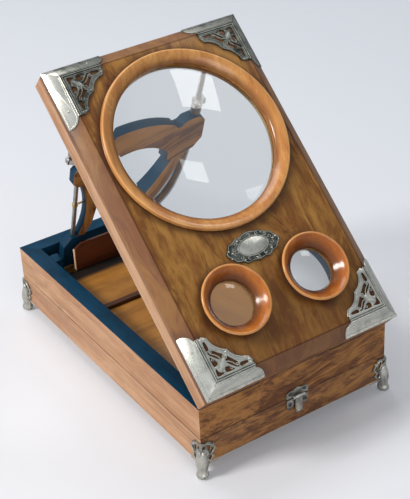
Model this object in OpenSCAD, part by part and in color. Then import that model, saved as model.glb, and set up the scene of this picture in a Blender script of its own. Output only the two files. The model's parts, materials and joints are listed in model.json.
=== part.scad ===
// Folding table stereoscope with a large reading lens, in a walnut case.
// Case coordinates: x to the right, y from the front face to the back, z up from the case rim.
// Lid coordinates: x, v along the lid from its front hinge, n up through the lid.
// Strut coordinates: x, q towards the back, r up along the strut from its pivot.

/* [Case] */
// Width of the case and of the lid
case_w = 210; // [200:1:225]
// Depth of the case from front to back
case_d = 335; // [335:1:345]
// Height of the case without its feet
case_h = 63; // [60:1:75]
// Depth of the seam between the two halves below the rim
seam_drop = 34; // [33:1:37]
// Thickness of the case walls
wall_t = 16.5; // [15:0.5:17]
// Height of the feet below the case
foot_h = 14; // [13:1:20]
// Top of the floor that the slide runs on, below the rim
floor_drop = 20.3; // [20.3:0.1:21]

/* [Lid] */
// Length of the lid from its hinge
lid_l = 330; // [330:1:335]
// Thickness of the lid over its flat
lid_t = 33; // [31:1:36]
// Thickness of the lens board on top of the lid's rails
board_t = 16; // [14:1:17]
// Tilt of the lid above the rim when it is in use
tilt = 41; // [38:1:43]
// Width of the bevel round the lid's flat
bevel_w = 11.5; // [9:0.5:12]
// Height of the bevel
bevel_h = 9.5; // [8:0.5:11]

/* [Lenses] */
// Distance of the reading lens from the lid's hinge
big_v = 221.5; // [218:0.5:224]
// Visible radius of the reading lens
big_r = 78; // [74:1:79]
// Outer radius of the ring round the reading lens
big_ring_r = 91; // [89:1:92]
// Distance of the eyepieces from the lid's hinge
eye_v = 69.5; // [66:0.5:72]
// Half of the distance between the eyepieces
eye_x = 43.5; // [38:0.5:46]
// Visible radius of an eyepiece lens
eye_r = 21; // [19:0.5:22]
// Outer radius of an eyepiece ring
eye_ring_r = 33; // [31:0.5:34]

/* [Support] */
// Distance of the strut's pivot from the front face
strut_y = 296.9; // [296:0.1:298]
// Depth of the strut's pivot below the rim
strut_drop = 7; // [6.5:0.1:7.5]
// Lean of the strut from the vertical
lean = 17.4; // [17:0.1:18]
// Distance of each rod from the middle plane
rod_x = 66; // [64:0.5:67]
// Diameter of a lower rod
rod_d = 4.5; // [4:0.1:5]
// Diameter of an upper stay
stay_d = 4.2; // [3.8:0.1:4.4]
// Length of an upper stay from its pivot to its free end
stay_len = 94; // [93:1:95]

/* [Slide] */
// Front edge of the card slide from the front face
slide_y = 205; // [195:1:215]
// Height of the card rest above the slide
rest_h = 31; // [27:1:32]
// Half of the card rest's width
rest_x = 70; // [65:1:70]

/* [Hidden] */
$fn = 64;

seam_gap = 0.3;
lid_gap = 0.4;
slip = 0.3;
bore_slip = 0.05;
eps = 0.1;

// Colours
walnut = [0.45, 0.28, 0.15];
walnut_side = [0.70, 0.50, 0.35];
burr = [0.50, 0.33, 0.16];
boxwood = [0.74, 0.45, 0.17];
pewter = [0.62, 0.63, 0.60];
steel = [0.45, 0.46, 0.47];
brass = [0.66, 0.55, 0.32];
blue_paint = [0.06, 0.22, 0.31];
dark_wood = [0.28, 0.14, 0.08];
glass = [0.85, 0.92, 0.94, 0.35];

// Case
inner_x = case_w / 2 - wall_t;
inner_back = case_d - wall_t;
lower_h = case_h - seam_drop - seam_gap / 2;
upper_h = seam_drop - seam_gap / 2;
bottom_t = 5;
bottom_rise = 1;
floor_t = 4;
floor_top = -floor_drop;
case_outer = [-case_w / 2, 0, case_w / 2, case_d];
case_inner = [-inner_x, wall_t, inner_x, inner_back];

// Place of the model: the origin is at the middle of the bounding box, on the ground
hinge_y = 1;
toe_reach = 6;
mount_t = 1.2;
bevel_len = sqrt(bevel_w * bevel_w + bevel_h * bevel_h);
side_h = lid_t - bevel_h;
skin_rise = mount_t * bevel_len / bevel_w;
front_y = hinge_y - hinge_y * cos(tilt) - (side_h + skin_rise) * sin(tilt);
rear_y = case_d + toe_reach;
mid_y = (front_y + rear_y) / 2;
rim_z = case_h + foot_h;

// Lid
hinge_z = lid_gap / 2;
lid_under = lid_gap / 2;
relief = 1.4;
recess_n = lid_t - board_t;
rear_rail_w = 15;
lid_outer = [-case_w / 2, 0, case_w / 2, lid_l];
lid_inner = [-inner_x, wall_t, inner_x, lid_l - rear_rail_w];

// Small butt hinges of the lid and of the seam
barrel_r = 1.6;
barrel_notch_r = 2;
hinge_pin_r = 0.7;
hinge_len = 36;
hinge_x = 58;
leaf_l = 12;
leaf_t = 1.2;
knuckles = 3;

// Reading lens and its turned ring
spigot_wall = 4;
seat_r = big_r + 1.9;
big_spigot_r = seat_r + spigot_wall;
glass_edge = 3.2;
glass_top_n = lid_t - 5;
big_sphere_r = 395;

// Eyepieces
eye_seat_r = eye_r + 2;
eye_spigot_r = eye_seat_r + 2.5;
eye_sphere_r = 73;
eye_glass_lo = lid_t - 5.5;
eye_glass_hi = lid_t - 2;

// Strut
strut_z = -strut_drop;
strut_t = 9;
pivot_r = 2;
foot_top_r = 32;
head_lo = 104;
head_hi = 129;
head_out = 72;
rod_top = 140;
arch_half = 50;
arch_rise = 16;
arch_t = 14.5;
lap_q = 7.4;
clip_lo = 131.6;
clip_hi = 137;
clip_wall = 1.5;
stay_x = rod_x + 5.7;

// Upper stays: pivot on the lid and direction, in strut coordinates
stay_v = 309.6;
stay_n = 5;
stay_y = hinge_y + (stay_v - hinge_y) * cos(tilt) - stay_n * sin(tilt);
stay_z = hinge_z + (stay_v - hinge_y) * sin(tilt) + stay_n * cos(tilt);
stay_r = -(stay_y - strut_y) * sin(lean) + (stay_z - strut_z) * cos(lean);
stay_q = (stay_y - strut_y) * cos(lean) + (stay_z - strut_z) * sin(lean);
stay_foot_r = stay_r - sqrt(stay_len * stay_len - pow(lap_q - stay_q, 2));
stay_lean = asin((lap_q - stay_q) / stay_len);
eye_out_r = 3.4;
eye_half = 2.8;
stay_pin_r = 1.5;

// Slide and card rest
carriage_t = 4;
carriage_top = floor_top + slip + carriage_t;
groove_d = 2.8;
groove_y = 45;
rest_t = 3;
rest_front = 280;
rest_pin_r = 0.8;
rest_pin_y = rest_front + rest_t / 2;
rest_pin_z = carriage_top + slip + rest_t / 2;

// Catch
catch_x = 1;
catch_plate_t = 1.2;
catch_pin_y = -3.2;
catch_pin_z = -33.2;
catch_pin_r = 0.8;
catch_knuckle_r = 1.7;
tongue_w = 8;
screw_r = 1.9;
screw_shank_r = 1.1;
screw_l = 9;

// Fixing pins of the cast mounts
pin_r = 0.7;
pin_head_r = 1.3;
pin_l = 4;

module on_case() { translate([0, -mid_y, rim_z]) children(); }
module on_lid() {
    on_case() translate([0, hinge_y, hinge_z]) rotate([tilt, 0, 0]) translate([0, -hinge_y, 0]) children();
}
module on_strut() { on_case() translate([0, strut_y, strut_z]) rotate([lean, 0, 0]) children(); }
module both_sides() {
    children();
    mirror([1, 0, 0]) children();
}
module along_x(length, radius) { rotate([0, 90, 0]) cylinder(h = length, r = radius, center = true); }

// Outline of one mitred side of a rectangular frame: 0 front, 1 right, 2 back, 3 left
function frame_side(o, i, side) =
    side == 0 ? [[o[0], o[1]], [o[2], o[1]], [i[2], i[1]], [i[0], i[1]]] :
    side == 1 ? [[o[2], o[1]], [o[2], o[3]], [i[2], i[3]], [i[2], i[1]]] :
    side == 2 ? [[o[2], o[3]], [o[0], o[3]], [i[0], i[3]], [i[2], i[3]]] :
                [[o[0], o[3]], [o[0], o[1]], [i[0], i[1]], [i[0], i[3]]];
function arc(c, r, a0, a1, steps) = [for (k = [0:steps]) c + r * [cos(a0 + (a1 - a0) * k / steps),
                                                                 sin(a0 + (a1 - a0) * k / steps)]];

// Butt hinge in its own coordinates: pin along x at the origin, leaf towards +y
// low = true gives the leaf below the pin with the two outer knuckles
module hinge_leaf(low) {
    pitch = hinge_len / knuckles;
    leaf_z = low ? -lid_gap / 2 - leaf_t : lid_gap / 2;
    difference() {
        union() {
            translate([-hinge_len / 2, 0, leaf_z]) cube([hinge_len, leaf_l, leaf_t]);
            for (k = [0:knuckles - 1]) if ((k % 2 == 0) == low)
                translate([(k - 1) * pitch, 0, 0]) along_x(pitch - slip, barrel_r);
        }
        for (k = [0:knuckles - 1]) if ((k % 2 == 0) != low)
            translate([(k - 1) * pitch, 0, 0]) along_x(pitch + slip, barrel_notch_r);
        along_x(hinge_len + 1, hinge_pin_r + (low ? 0 : bore_slip));
    }
}
module hinge_pin() { along_x(hinge_len - slip, hinge_pin_r); }
// Room for a hinge in the wood below (low) or above its pin
module hinge_room(low) {
    leaf_z = low ? -lid_gap / 2 - leaf_t : lid_gap / 2 - eps;
    along_x(hinge_len + 2 * slip, barrel_notch_r);
    translate([-hinge_len / 2, -barrel_r, leaf_z]) cube([hinge_len, leaf_l + barrel_r, leaf_t + eps]);
}
module at_lid_hinges() { for (x = [-hinge_x, hinge_x]) translate([x, hinge_y, hinge_z]) children(); }
module lid_side_hinges() { for (x = [-hinge_x, hinge_x]) translate([x, hinge_y, 0]) children(); }
module at_case_hinges() {
    for (x = [-hinge_x, hinge_x]) translate([x, case_d, -seam_drop]) rotate([0, 0, 180]) children();
}

// Fixing pins: a shank that points down from z = 0 and a domed head above it
pin_dome_drop = pin_head_r / 2;
module fixing_pin() {
    translate([0, 0, -pin_l]) cylinder(h = pin_l + eps, r = pin_r, $fn = 24);
    difference() {
        translate([0, 0, -pin_dome_drop]) sphere(r = pin_head_r, $fn = 32);
        translate([0, 0, -pin_head_r * 2]) cube(pin_head_r * 4, center = true);
    }
}
module pin_hole() {
    translate([0, 0, -pin_l - eps]) cylinder(h = pin_l + 3, r = pin_r + bore_slip, $fn = 24);
}

// Round-headed wood screw pointing towards +y from y = 0
screw_dome_r = screw_r * 1.12;
screw_dome_z = screw_r / 2;
screw_slot = [screw_r * 3, 0.5, screw_r * 1.4];
module wood_screw() {
    rotate([-90, 0, 0]) {
        difference() {
            union() {
                cylinder(h = screw_l, r = screw_shank_r, $fn = 24);
                intersection() {
                    translate([0, 0, screw_dome_z]) sphere(r = screw_dome_r, $fn = 32);
                    translate([0, 0, -screw_r]) cylinder(h = screw_r, r = screw_r, $fn = 32);
                }
            }
            translate([0, 0, -screw_r]) cube(screw_slot, center = true);
        }
    }
}
module screw_hole() {
    rotate([-90, 0, 0]) translate([0, 0, -1])
        cylinder(h = screw_l + 1.5, r = screw_shank_r + bore_slip, $fn = 24);
}

// Feet: places of the fixing pins on the two faces of a corner, in corner coordinates
foot_pin_places = [[7.5, -41.5], [11.5, -51], [6.5, -59.5]];
// Corner coordinates: the case fills x > 0, y > 0, and the faces are x = 0 and y = 0
module at_corner(right, rear) {
    translate([right ? case_w / 2 : -case_w / 2, rear ? case_d : 0, 0])
        mirror([right ? 1 : 0, 0, 0]) mirror([0, rear ? 1 : 0, 0]) children();
}
module at_corners() {
    for (right = [false, true]) for (rear = [false, true]) at_corner(right, rear) children();
}
bracket_t = 1.5;
module foot_pin_set(hole) {
    for (p = foot_pin_places) {
        translate([p[0], -bracket_t, p[1]]) rotate([90, 0, 0]) if (hole) pin_hole(); else fixing_pin();
        translate([-bracket_t, p[0], p[1]]) rotate([0, -90, 0]) if (hole) pin_hole(); else fixing_pin();
    }
}
module foot_pins() { on_case() color(steel) at_corners() foot_pin_set(false); }

// Scrolled outline of one face of a foot's bracket: distance from the corner, height
bracket_top = -37.5;
bracket_outline = concat([[-bracket_t, -case_h - 3], [-bracket_t, bracket_top + 1.5], [1, bracket_top],
                          [5, bracket_top - 0.5]],
                         arc([11.5, bracket_top - 1.5], 4.5, 180, 270, 6),
                         arc([11.2, -50.5], 3.4, 80, -80, 6),
                         arc([12, -58.5], 4.5, 110, 200, 6),
                         [[6.5, -case_h - 3]]);
// Piercings of a bracket's face: distance from the corner, height, radius
bracket_holes = [[4.2, -46.5, 1.9], [7.6, -54.6, 1.7]];
module bracket_face() {
    difference() {
        polygon(bracket_outline);
        for (b = bracket_holes) translate([b[0], b[1]]) circle(r = b[2], $fn = 24);
    }
}
// Stem, toe and heel of a foot in corner coordinates
toe_r = 4.4;
toe_in = toe_r - toe_reach;
toe = [toe_in, toe_in, -rim_z + 5];
stem = [4.5, 4.5, -case_h - 3];
stem_r = 5.5;
waist = [-0.5, -0.5, -case_h - 7];
waist_r = 4.2;
heel = [0.5, 0.5, -rim_z + 2.5];
heel_r = 3;
pad = [-2.5, -2.5, -rim_z];
pad_r = 3.4;
pad_h = 4;
web_t = 3;
web = [[0, 0], [20, 0], [16, 3], [7, 7], [3, 16], [0, 20]];
module ball(centre, radius) { translate(centre) sphere(r = radius, $fn = 24); }
module foot(right, rear) {
    on_case() color(pewter) at_corner(right, rear) difference() {
        union() {
            rotate([90, 0, 0]) linear_extrude(bracket_t) bracket_face();
            translate([-bracket_t, 0, 0]) rotate([90, 0, 90]) linear_extrude(bracket_t) bracket_face();
            translate([-bracket_t, -bracket_t, -case_h - web_t]) linear_extrude(web_t) polygon(web);
            hull() {
                ball(stem, stem_r);
                ball(waist, waist_r);
            }
            hull() {
                ball(waist, waist_r);
                ball(toe, toe_r);
            }
            hull() {
                ball(toe, toe_r);
                ball(heel, heel_r);
            }
            translate(pad) cylinder(h = pad_h, r = pad_r, $fn = 32);
        }
        translate([0, 0, -case_h]) cube([40, 40, case_h]);
        translate([-20, -20, -rim_z - 20]) cube([40, 40, 20]);
        foot_pin_set(true);
    }
}

// Walls of the two halves of the case
module case_wall(side, z, h) {
    translate([0, 0, z]) linear_extrude(h) polygon(frame_side(case_outer, case_inner, side));
}
module lower_wall(side) {
    difference() {
        case_wall(side, -case_h, lower_h);
        at_corners() foot_pin_set(true);
        at_case_hinges() hinge_room(true);
        catch_screw_holes();
    }
}
module lower_front() { on_case() color(walnut) lower_wall(0); }
module lower_right() { on_case() color(walnut) lower_wall(1); }
module lower_back() { on_case() color(walnut) lower_wall(2); }
module lower_left() { on_case() color(walnut_side) lower_wall(3); }
module bottom_board() {
    on_case() color(dark_wood) translate([-inner_x, wall_t, -case_h + bottom_rise])
        cube([2 * inner_x, case_d - 2 * wall_t, bottom_t]);
}
module upper_wall(side) {
    difference() {
        case_wall(side, -upper_h, upper_h);
        at_lid_hinges() hinge_room(true);
        at_case_hinges() hinge_room(false);
        both_sides() bearing_pin_room();
        both_sides() translate([inner_x - eps, groove_y, floor_top])
            cube([groove_d + eps + slip, inner_back - groove_y, carriage_t + 2 * slip]);
        catch_screw_holes();
    }
}
module upper_front() { on_case() color(walnut) upper_wall(0); }
module upper_right() { on_case() color(walnut) upper_wall(1); }
module upper_back() { on_case() color(walnut) upper_wall(2); }
module upper_left() { on_case() color(walnut_side) upper_wall(3); }
module case_floor() {
    on_case() color(dark_wood) translate([-inner_x, wall_t, floor_top - floor_t])
        cube([2 * inner_x, case_d - 2 * wall_t, floor_t]);
}

// Hinges
module case_hinge_leaves_lower() { on_case() color(steel) at_case_hinges() hinge_leaf(true); }
module case_hinge_leaves_upper() { on_case() color(steel) at_case_hinges() hinge_leaf(false); }
module case_hinge_pins() { on_case() color(steel) at_case_hinges() hinge_pin(); }
module lid_hinge_leaves_case() { on_case() color(steel) at_lid_hinges() hinge_leaf(true); }
module lid_hinge_pins() { on_case() color(steel) at_lid_hinges() hinge_pin(); }
module lid_hinge_leaves_lid() {
    on_lid() color(steel) lid_side_hinges() hinge_leaf(false);
}

// Catch on the front: plates, screws, tongue and its pin
upper_screws = [[-8.2, -29.2], [8.2, -29.2]];
lower_screws = [[-8.6, -41.2], [8.6, -41.2]];
module at_screws(places) {
    for (p = places) translate([catch_x + p[0], -catch_plate_t, p[1]]) children();
}
module catch_screw_holes() {
    at_screws(upper_screws) screw_hole();
    at_screws(lower_screws) screw_hole();
}
module catch_plate(points) {
    translate([catch_x, 0, 0]) rotate([90, 0, 0]) linear_extrude(catch_plate_t) polygon(points);
}
module at_catch_pin() { translate([catch_x, catch_pin_y, catch_pin_z]) children(); }
catch_upper_outline = [[-12.5, -34.2], [-12.5, -28.5], [-9.5, -26.4], [-5, -26.2], [0, -24.2], [5, -26.2],
                       [9.5, -26.4], [12.5, -28.5], [12.5, -34.2]];
catch_lower_outline = [[-12, -36], [-12, -43.5], [-10.5, -47], [-7, -47.4], [-5, -44.5], [5, -44.5],
                       [7, -46.2], [10.5, -46], [12, -43.5], [12, -36]];
catch_ear_w = 2.4;
catch_boss_r = 2;
catch_boss_z = -42;
tongue_t = 1.2;
tongue_tip_z = -48;
bead_z = -49;
bead_r = 1.1;
module catch_upper_plate() {
    on_case() color(pewter) difference() {
        union() {
            catch_plate(catch_upper_outline);
            both_sides_of_catch() translate([tongue_w / 2 + slip, catch_pin_y, catch_pin_z - 1])
                cube([catch_ear_w, -catch_pin_y - eps, 2]);
            both_sides_of_catch() translate([(tongue_w + catch_ear_w) / 2 + slip, catch_pin_y, catch_pin_z])
                along_x(catch_ear_w, catch_knuckle_r);
        }
        at_catch_pin() along_x(30, catch_pin_r);
        at_screws(upper_screws) screw_hole();
    }
}
module both_sides_of_catch() {
    translate([catch_x, 0, 0]) both_sides() children();
}
module catch_upper_screws() { on_case() color(steel) at_screws(upper_screws) wood_screw(); }
module catch_pin() {
    on_case() color(steel) at_catch_pin() along_x(tongue_w + 2 * slip + 2 * catch_ear_w, catch_pin_r);
}
module catch_lower_plate() {
    on_case() color(pewter) difference() {
        union() {
            catch_plate(catch_lower_outline);
            translate([catch_x, -catch_plate_t, catch_boss_z]) rotate([90, 0, 0])
                cylinder(h = 0.8, r = catch_boss_r, $fn = 32);
        }
        at_screws(lower_screws) screw_hole();
    }
}
module catch_lower_screws() { on_case() color(steel) at_screws(lower_screws) wood_screw(); }
module catch_tongue() {
    on_case() color(pewter) difference() {
        union() {
            at_catch_pin() along_x(tongue_w, catch_knuckle_r);
            translate([catch_x, catch_pin_y + tongue_t / 2, 0]) rotate([90, 0, 0]) linear_extrude(tongue_t)
                polygon(concat([[tongue_w / 2, catch_pin_z]],
                               arc([0, tongue_tip_z], tongue_w / 2, 0, -180, 12),
                               [[-tongue_w / 2, catch_pin_z]]));
            translate([catch_x, catch_pin_y - tongue_t / 2, bead_z]) along_x(tongue_w * 0.6, bead_r);
        }
        at_catch_pin() along_x(tongue_w + 1, catch_pin_r + bore_slip);
    }
}

// Lid: a lens board with bevelled edges on four mitred rails
module bevelled(base, grow) {
    rise = grow * bevel_len / bevel_w;
    run = (lid_t + grow - side_h - rise) * bevel_w / bevel_h;
    intersection() {
        translate([0, lid_l, 0]) rotate([90, 0, 0]) linear_extrude(lid_l)
            polygon([[-case_w / 2, base], [case_w / 2, base], [case_w / 2, side_h + rise],
                     [case_w / 2 - run, lid_t + grow], [run - case_w / 2, lid_t + grow],
                     [-case_w / 2, side_h + rise]]);
        translate([-case_w / 2, 0, 0]) rotate([90, 0, 90]) linear_extrude(case_w)
            polygon([[0, base], [lid_l, base], [lid_l, side_h + rise], [lid_l - run, lid_t + grow],
                     [run, lid_t + grow], [0, side_h + rise]]);
    }
}
module at_big_lens() { translate([0, big_v, 0]) children(); }
module at_eyes() { for (x = [-eye_x, eye_x]) translate([x, eye_v, 0]) children(); }
module through(r) { translate([0, 0, recess_n - 1]) cylinder(h = board_t + 2, r = r, $fn = 96); }
module lid_panel() {
    on_lid() color(burr) difference() {
        bevelled(recess_n, 0);
        at_big_lens() through(big_spigot_r + bore_slip);
        at_eyes() through(eye_spigot_r + bore_slip);
        mount_pin_set(true);
        cartouche_pin_set(true);
    }
}
module lid_rail(side) {
    difference() {
        translate([0, 0, lid_under]) linear_extrude(recess_n - lid_under)
            polygon(frame_side(lid_outer, lid_inner, side));
        lid_side_hinges() hinge_room(false);
        translate([-case_w / 2 - 1, 0, lid_under]) rotate([90, 0, 90]) linear_extrude(case_w + 2)
            polygon([[-1, -1], [relief + 1, -1], [-1, relief + 1]]);
    }
}
module lid_front_rail() { on_lid() color(walnut) lid_rail(0); }
module lid_right_rail() { on_lid() color(walnut) lid_rail(1); }
module lid_rear_rail() { on_lid() color(walnut) lid_rail(2); }
module lid_left_rail() { on_lid() color(walnut_side) lid_rail(3); }

// Turned rings: profile of radius and height, from the foot of the spigot round the lip
module big_ring() {
    on_lid() color(boxwood) at_big_lens() rotate_extrude($fn = 128) polygon(concat(
        [[seat_r, recess_n], [big_spigot_r, recess_n], [big_spigot_r, lid_t], [big_ring_r, lid_t],
         [big_ring_r, lid_t + 1.5]],
        arc([big_ring_r - 5, lid_t + 1.5], 5, 0, 110, 6),
        arc([big_r + 1, lid_t + 4.5], 3, 40, 180, 5),
        [[big_r, glass_top_n], [seat_r, glass_top_n]]));
}
module lens_solid(rim, clear_r, lo, hi, sphere_r, below) {
    drop = sphere_r - sqrt(sphere_r * sphere_r - clear_r * clear_r);
    rotate_extrude($fn = 128) polygon(concat(
        below ? [for (k = [0:10]) [clear_r * k / 10, lo - drop + sphere_r
                 - sqrt(sphere_r * sphere_r - pow(clear_r * k / 10, 2))]] : [[0, lo]],
        [[rim, lo], [rim, hi]],
        [for (k = [10:-1:0]) [clear_r * k / 10, hi + drop - sphere_r
                 + sqrt(sphere_r * sphere_r - pow(clear_r * k / 10, 2))]]));
}
module big_lens() {
    on_lid() color(glass) at_big_lens()
        lens_solid(seat_r - slip, big_r - 0.2, glass_top_n - glass_edge, glass_top_n, big_sphere_r, true);
}
module big_lens_retainer() {
    on_lid() color(brass) at_big_lens() translate([0, 0, recess_n]) difference() {
        cylinder(h = glass_top_n - glass_edge - recess_n, r = seat_r - bore_slip, $fn = 128);
        translate([0, 0, -1]) cylinder(h = board_t, r = big_r - 0.1, $fn = 128);
    }
}
module eyepiece_ring(x) {
    lip = eye_ring_r;
    on_lid() color(boxwood) translate([x, eye_v, 0]) rotate_extrude($fn = 96) polygon(concat(
        [[eye_seat_r, recess_n], [eye_spigot_r, recess_n], [eye_spigot_r, lid_t], [lip - 3.5, lid_t],
         [lip - 3.5, lid_t + 1.5]],
        arc([lip - 3, lid_t + 4.6], 3.2, 265, 120, 5),
        arc([lip - 2.2, lid_t + 8.3], 2.2, -20, 120, 6),
        [[eye_r + 3.5, lid_t + 4.5], [eye_r, lid_t], [eye_r, eye_glass_hi], [eye_seat_r, eye_glass_hi]]));
}
module eyepiece_ring_left() { eyepiece_ring(-eye_x); }
module eyepiece_ring_right() { eyepiece_ring(eye_x); }
module eyepiece_lenses() {
    on_lid() color(glass) at_eyes()
        lens_solid(eye_seat_r - slip, eye_r - 0.2, eye_glass_lo, eye_glass_hi, eye_sphere_r, false);
}
module eyepiece_retainers() {
    on_lid() color(brass) at_eyes() translate([0, 0, eye_glass_lo - 5]) difference() {
        cylinder(h = 5, r = eye_seat_r - bore_slip, $fn = 96);
        translate([0, 0, -1]) cylinder(h = 7, r = eye_r - 0.5, $fn = 96);
    }
}

// Cast corner mounts: outline over the flat, distances from the lid's corner
flange_l = 60;
scallop_r = 18;
cusp = 34.5;
wing = 52.5;
wing_in = 18;
mount_outline = concat(
    [[0, 0], [flange_l - 3, 0]],
    arc([flange_l - 6, 6], 6, -60, 60, 5),
    [[flange_l - 8, bevel_w], [wing, bevel_w + 1.5], [wing, wing_in]],
    scallop(wing, wing_in, cusp, cusp),
    [[cusp, cusp]],
    scallop(cusp, cusp, wing_in, wing),
    [[wing_in, wing], [bevel_w + 1.5, wing], [bevel_w, flange_l - 8]],
    arc([6, flange_l - 6], 6, 30, 150, 5),
    [[0, flange_l - 3]]);
// Concave arc between two points of the outline, bulging towards the corner
function scallop(x0, y0, x1, y1) =
    let (mx = (x0 + x1) / 2, my = (y0 + y1) / 2, half = norm([x1 - x0, y1 - y0]) / 2,
         far = sqrt(scallop_r * scallop_r - half * half),
         dir = [y0 - y1, x1 - x0] / (2 * half),
         out = dir[0] + dir[1] > 0 ? dir : -dir,
         c = [mx, my] + out * far,
         a0 = atan2(y0 - c[1], x0 - c[0]), a1 = atan2(y1 - c[1], x1 - c[0]),
         turn = a1 - a0 > 180 ? a1 - a0 - 360 : a1 - a0 < -180 ? a1 - a0 + 360 : a1 - a0)
    [for (k = [1:5]) c + scallop_r * [cos(a0 + turn * k / 6), sin(a0 + turn * k / 6)]];
mount_flat_pins = [[cusp - 1.8, cusp - 1.8], [wing - 2.3, bevel_w + 4.4], [bevel_w + 4.4, wing - 2.3]];
mount_bevel_pin = 44;
// Piercings of a mount: distances from the lid's corner, radius
mount_holes = [[17, 17, 2.2], [27, 18.5, 2.4], [18.5, 27, 2.4], [36, 17.5, 2.1], [17.5, 36, 2.1],
               [28, 28, 2.2], [44, 16.5, 1.6], [16.5, 44, 1.6]];
module at_lid_corner(right, rear) {
    translate([right ? case_w / 2 : -case_w / 2, rear ? lid_l : 0, 0])
        mirror([right ? 1 : 0, 0, 0]) mirror([0, rear ? 1 : 0, 0]) children();
}
module corner_pins(hole) {
    bevel_angle = atan2(bevel_h, bevel_w);
    for (p = mount_flat_pins) translate([p[0], p[1], lid_t + mount_t])
        if (hole) pin_hole(); else fixing_pin();
    mid = [bevel_w / 2, side_h + bevel_h / 2];
    out = mount_t * [-sin(bevel_angle), cos(bevel_angle)];
    translate([mount_bevel_pin, mid[0] + out[0], mid[1] + out[1]]) rotate([bevel_angle, 0, 0])
        if (hole) pin_hole(); else fixing_pin();
    translate([mid[0] + out[0], mount_bevel_pin, mid[1] + out[1]]) rotate([0, -bevel_angle, 0])
        if (hole) pin_hole(); else fixing_pin();
}
module mount_pin_set(hole) {
    for (right = [false, true]) for (rear = [false, true]) at_lid_corner(right, rear) corner_pins(hole);
}
module corner_mount(right, rear) {
    on_lid() color(pewter) difference() {
        intersection() {
            difference() {
                bevelled(recess_n, mount_t);
                bevelled(recess_n - 1, 0);
            }
            at_lid_corner(right, rear) translate([0, 0, recess_n]) linear_extrude(board_t + 5) difference() {
                polygon(mount_outline);
                for (p = mount_holes) translate([p[0], p[1]]) circle(r = p[2], $fn = 24);
            }
        }
        at_lid_corner(right, rear) corner_pins(true);
    }
}
module mount_pins() { on_lid() color(steel) mount_pin_set(false); }

// Oval plate with a scrolled border between the lens and the eyepieces
cart_v = 109.7;
cart_rx = 28.3;
cart_rv = 14;
cart_t = 1.4;
oval_rx = 15.8;
oval_rv = 8.9;
function wavy(rx, rv, waves, depth, steps) =
    [for (k = [0:steps - 1]) let (a = 360 * k / steps, s = 1 - depth + depth * cos(waves * a))
        [rx * s * cos(a), rv * s * sin(a)]];
module cartouche() {
    on_lid() color(pewter) translate([0, cart_v, lid_t]) difference() {
        union() {
            linear_extrude(cart_t) polygon(wavy(cart_rx, cart_rv, 10, 0.07, 120));
            translate([0, 0, cart_t]) linear_extrude(0.6) difference() {
                polygon(wavy(oval_rx + 1.2, oval_rv + 1.2, 1, 0, 64));
                polygon(wavy(oval_rx, oval_rv, 1, 0, 64));
            }
        }
        translate([0, -cart_v, -lid_t]) cartouche_pin_set(true);
    }
}
module cartouche_pin_set(hole) {
    for (x = [-22, 22]) translate([x, cart_v, lid_t + cart_t]) if (hole) pin_hole(); else fixing_pin();
}
module cartouche_pins() { on_lid() color(steel) cartouche_pin_set(false); }

// Brackets that the stays hang from: base plate, two ears and a riveted pin in one casting
module stay_brackets() {
    ear_t = 2;
    ear_gap = 2 * eye_half + 2 * 0.2;
    base_t = 1.2;
    base_l = 11;
    on_lid() color(steel) both_sides() translate([stay_x, stay_v, stay_n]) {
        translate([-ear_gap / 2 - ear_t, 5 - base_l, recess_n - stay_n - base_t])
            cube([ear_gap + 2 * ear_t, base_l, base_t]);
        for (e = [-1, 1]) translate([e * (ear_gap + ear_t) / 2, 0, 0]) {
            along_x(ear_t, eye_out_r);
            translate([-ear_t / 2, -eye_out_r, 0]) cube([ear_t, 2 * eye_out_r, recess_n - stay_n - 0.5]);
        }
        along_x(ear_gap + ear_t, stay_pin_r);
    }
}
module stay_rods() {
    on_strut() color(steel) both_sides() translate([stay_x, lap_q, stay_foot_r]) rotate([stay_lean, 0, 0])
        difference() {
            union() {
                cylinder(h = stay_len - eye_out_r * 0.6, r = stay_d / 2);
                translate([0, 0, stay_len]) along_x(2 * eye_half, eye_out_r);
            }
            translate([0, 0, stay_len]) along_x(3 * eye_half, stay_pin_r + bore_slip);
        }
}

// Strut: an arched rail on two curved legs, with blocks at their feet
module strut_board(points) {
    translate([0, strut_t / 2, 0]) rotate([90, 0, 0]) linear_extrude(strut_t) polygon(points);
}
head_ear = 5;
scoop_r = 4;
module arch_rail() {
    big = (arch_half * arch_half + arch_rise * arch_rise) / (2 * arch_rise);
    c = [0, head_hi + arch_rise - big];
    a = acos(arch_half / big);
    b = acos(arch_half / (big - arch_t));
    head_in = arch_half + 6;
    on_strut() color(blue_paint) difference() {
        strut_board(concat(
            arc(c, big, a, 180 - a, 16),
            [[-head_in, head_hi], [-head_out + head_ear, head_hi], [-head_out, head_hi - head_ear],
             [-head_out, head_lo + head_ear], [-head_out + head_ear, head_lo], [-head_in + 4, head_lo]],
            arc(c, big - arch_t, 180 - b, b, 16),
            [[head_in - 4, head_lo], [head_out - head_ear, head_lo], [head_out, head_lo + head_ear],
             [head_out, head_hi - head_ear], [head_out - head_ear, head_hi], [head_in, head_hi]]));
        both_sides() translate([arch_half + scoop_r - 0.5, 0, head_hi + 1]) rotate([90, 0, 0])
            cylinder(h = strut_t + 2, r = scoop_r, center = true, $fn = 48);
        both_sides() translate([rod_x, 0, head_lo - 1])
            cylinder(h = head_hi - head_lo + 2, r = rod_d / 2 + bore_slip, $fn = 48);
    }
}
leg_out = rod_x - rod_d / 2 - 0.5;
leg_sag = 8;
leg_inner = [[55, head_lo], [47.5, 86], [42.6, 65], [46.5, 46], [54, foot_top_r]];
module strut_leg() {
    half = (head_lo - foot_top_r) / 2;
    r = (half * half + leg_sag * leg_sag) / (2 * leg_sag);
    mid = (head_lo + foot_top_r) / 2;
    a = asin(half / r);
    strut_board(concat(
        arc([leg_out + r - leg_sag, mid], r, 180 + a, 180 - a, 12),
        leg_inner));
}
module leg_right() { on_strut() color(blue_paint) strut_leg(); }
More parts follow.
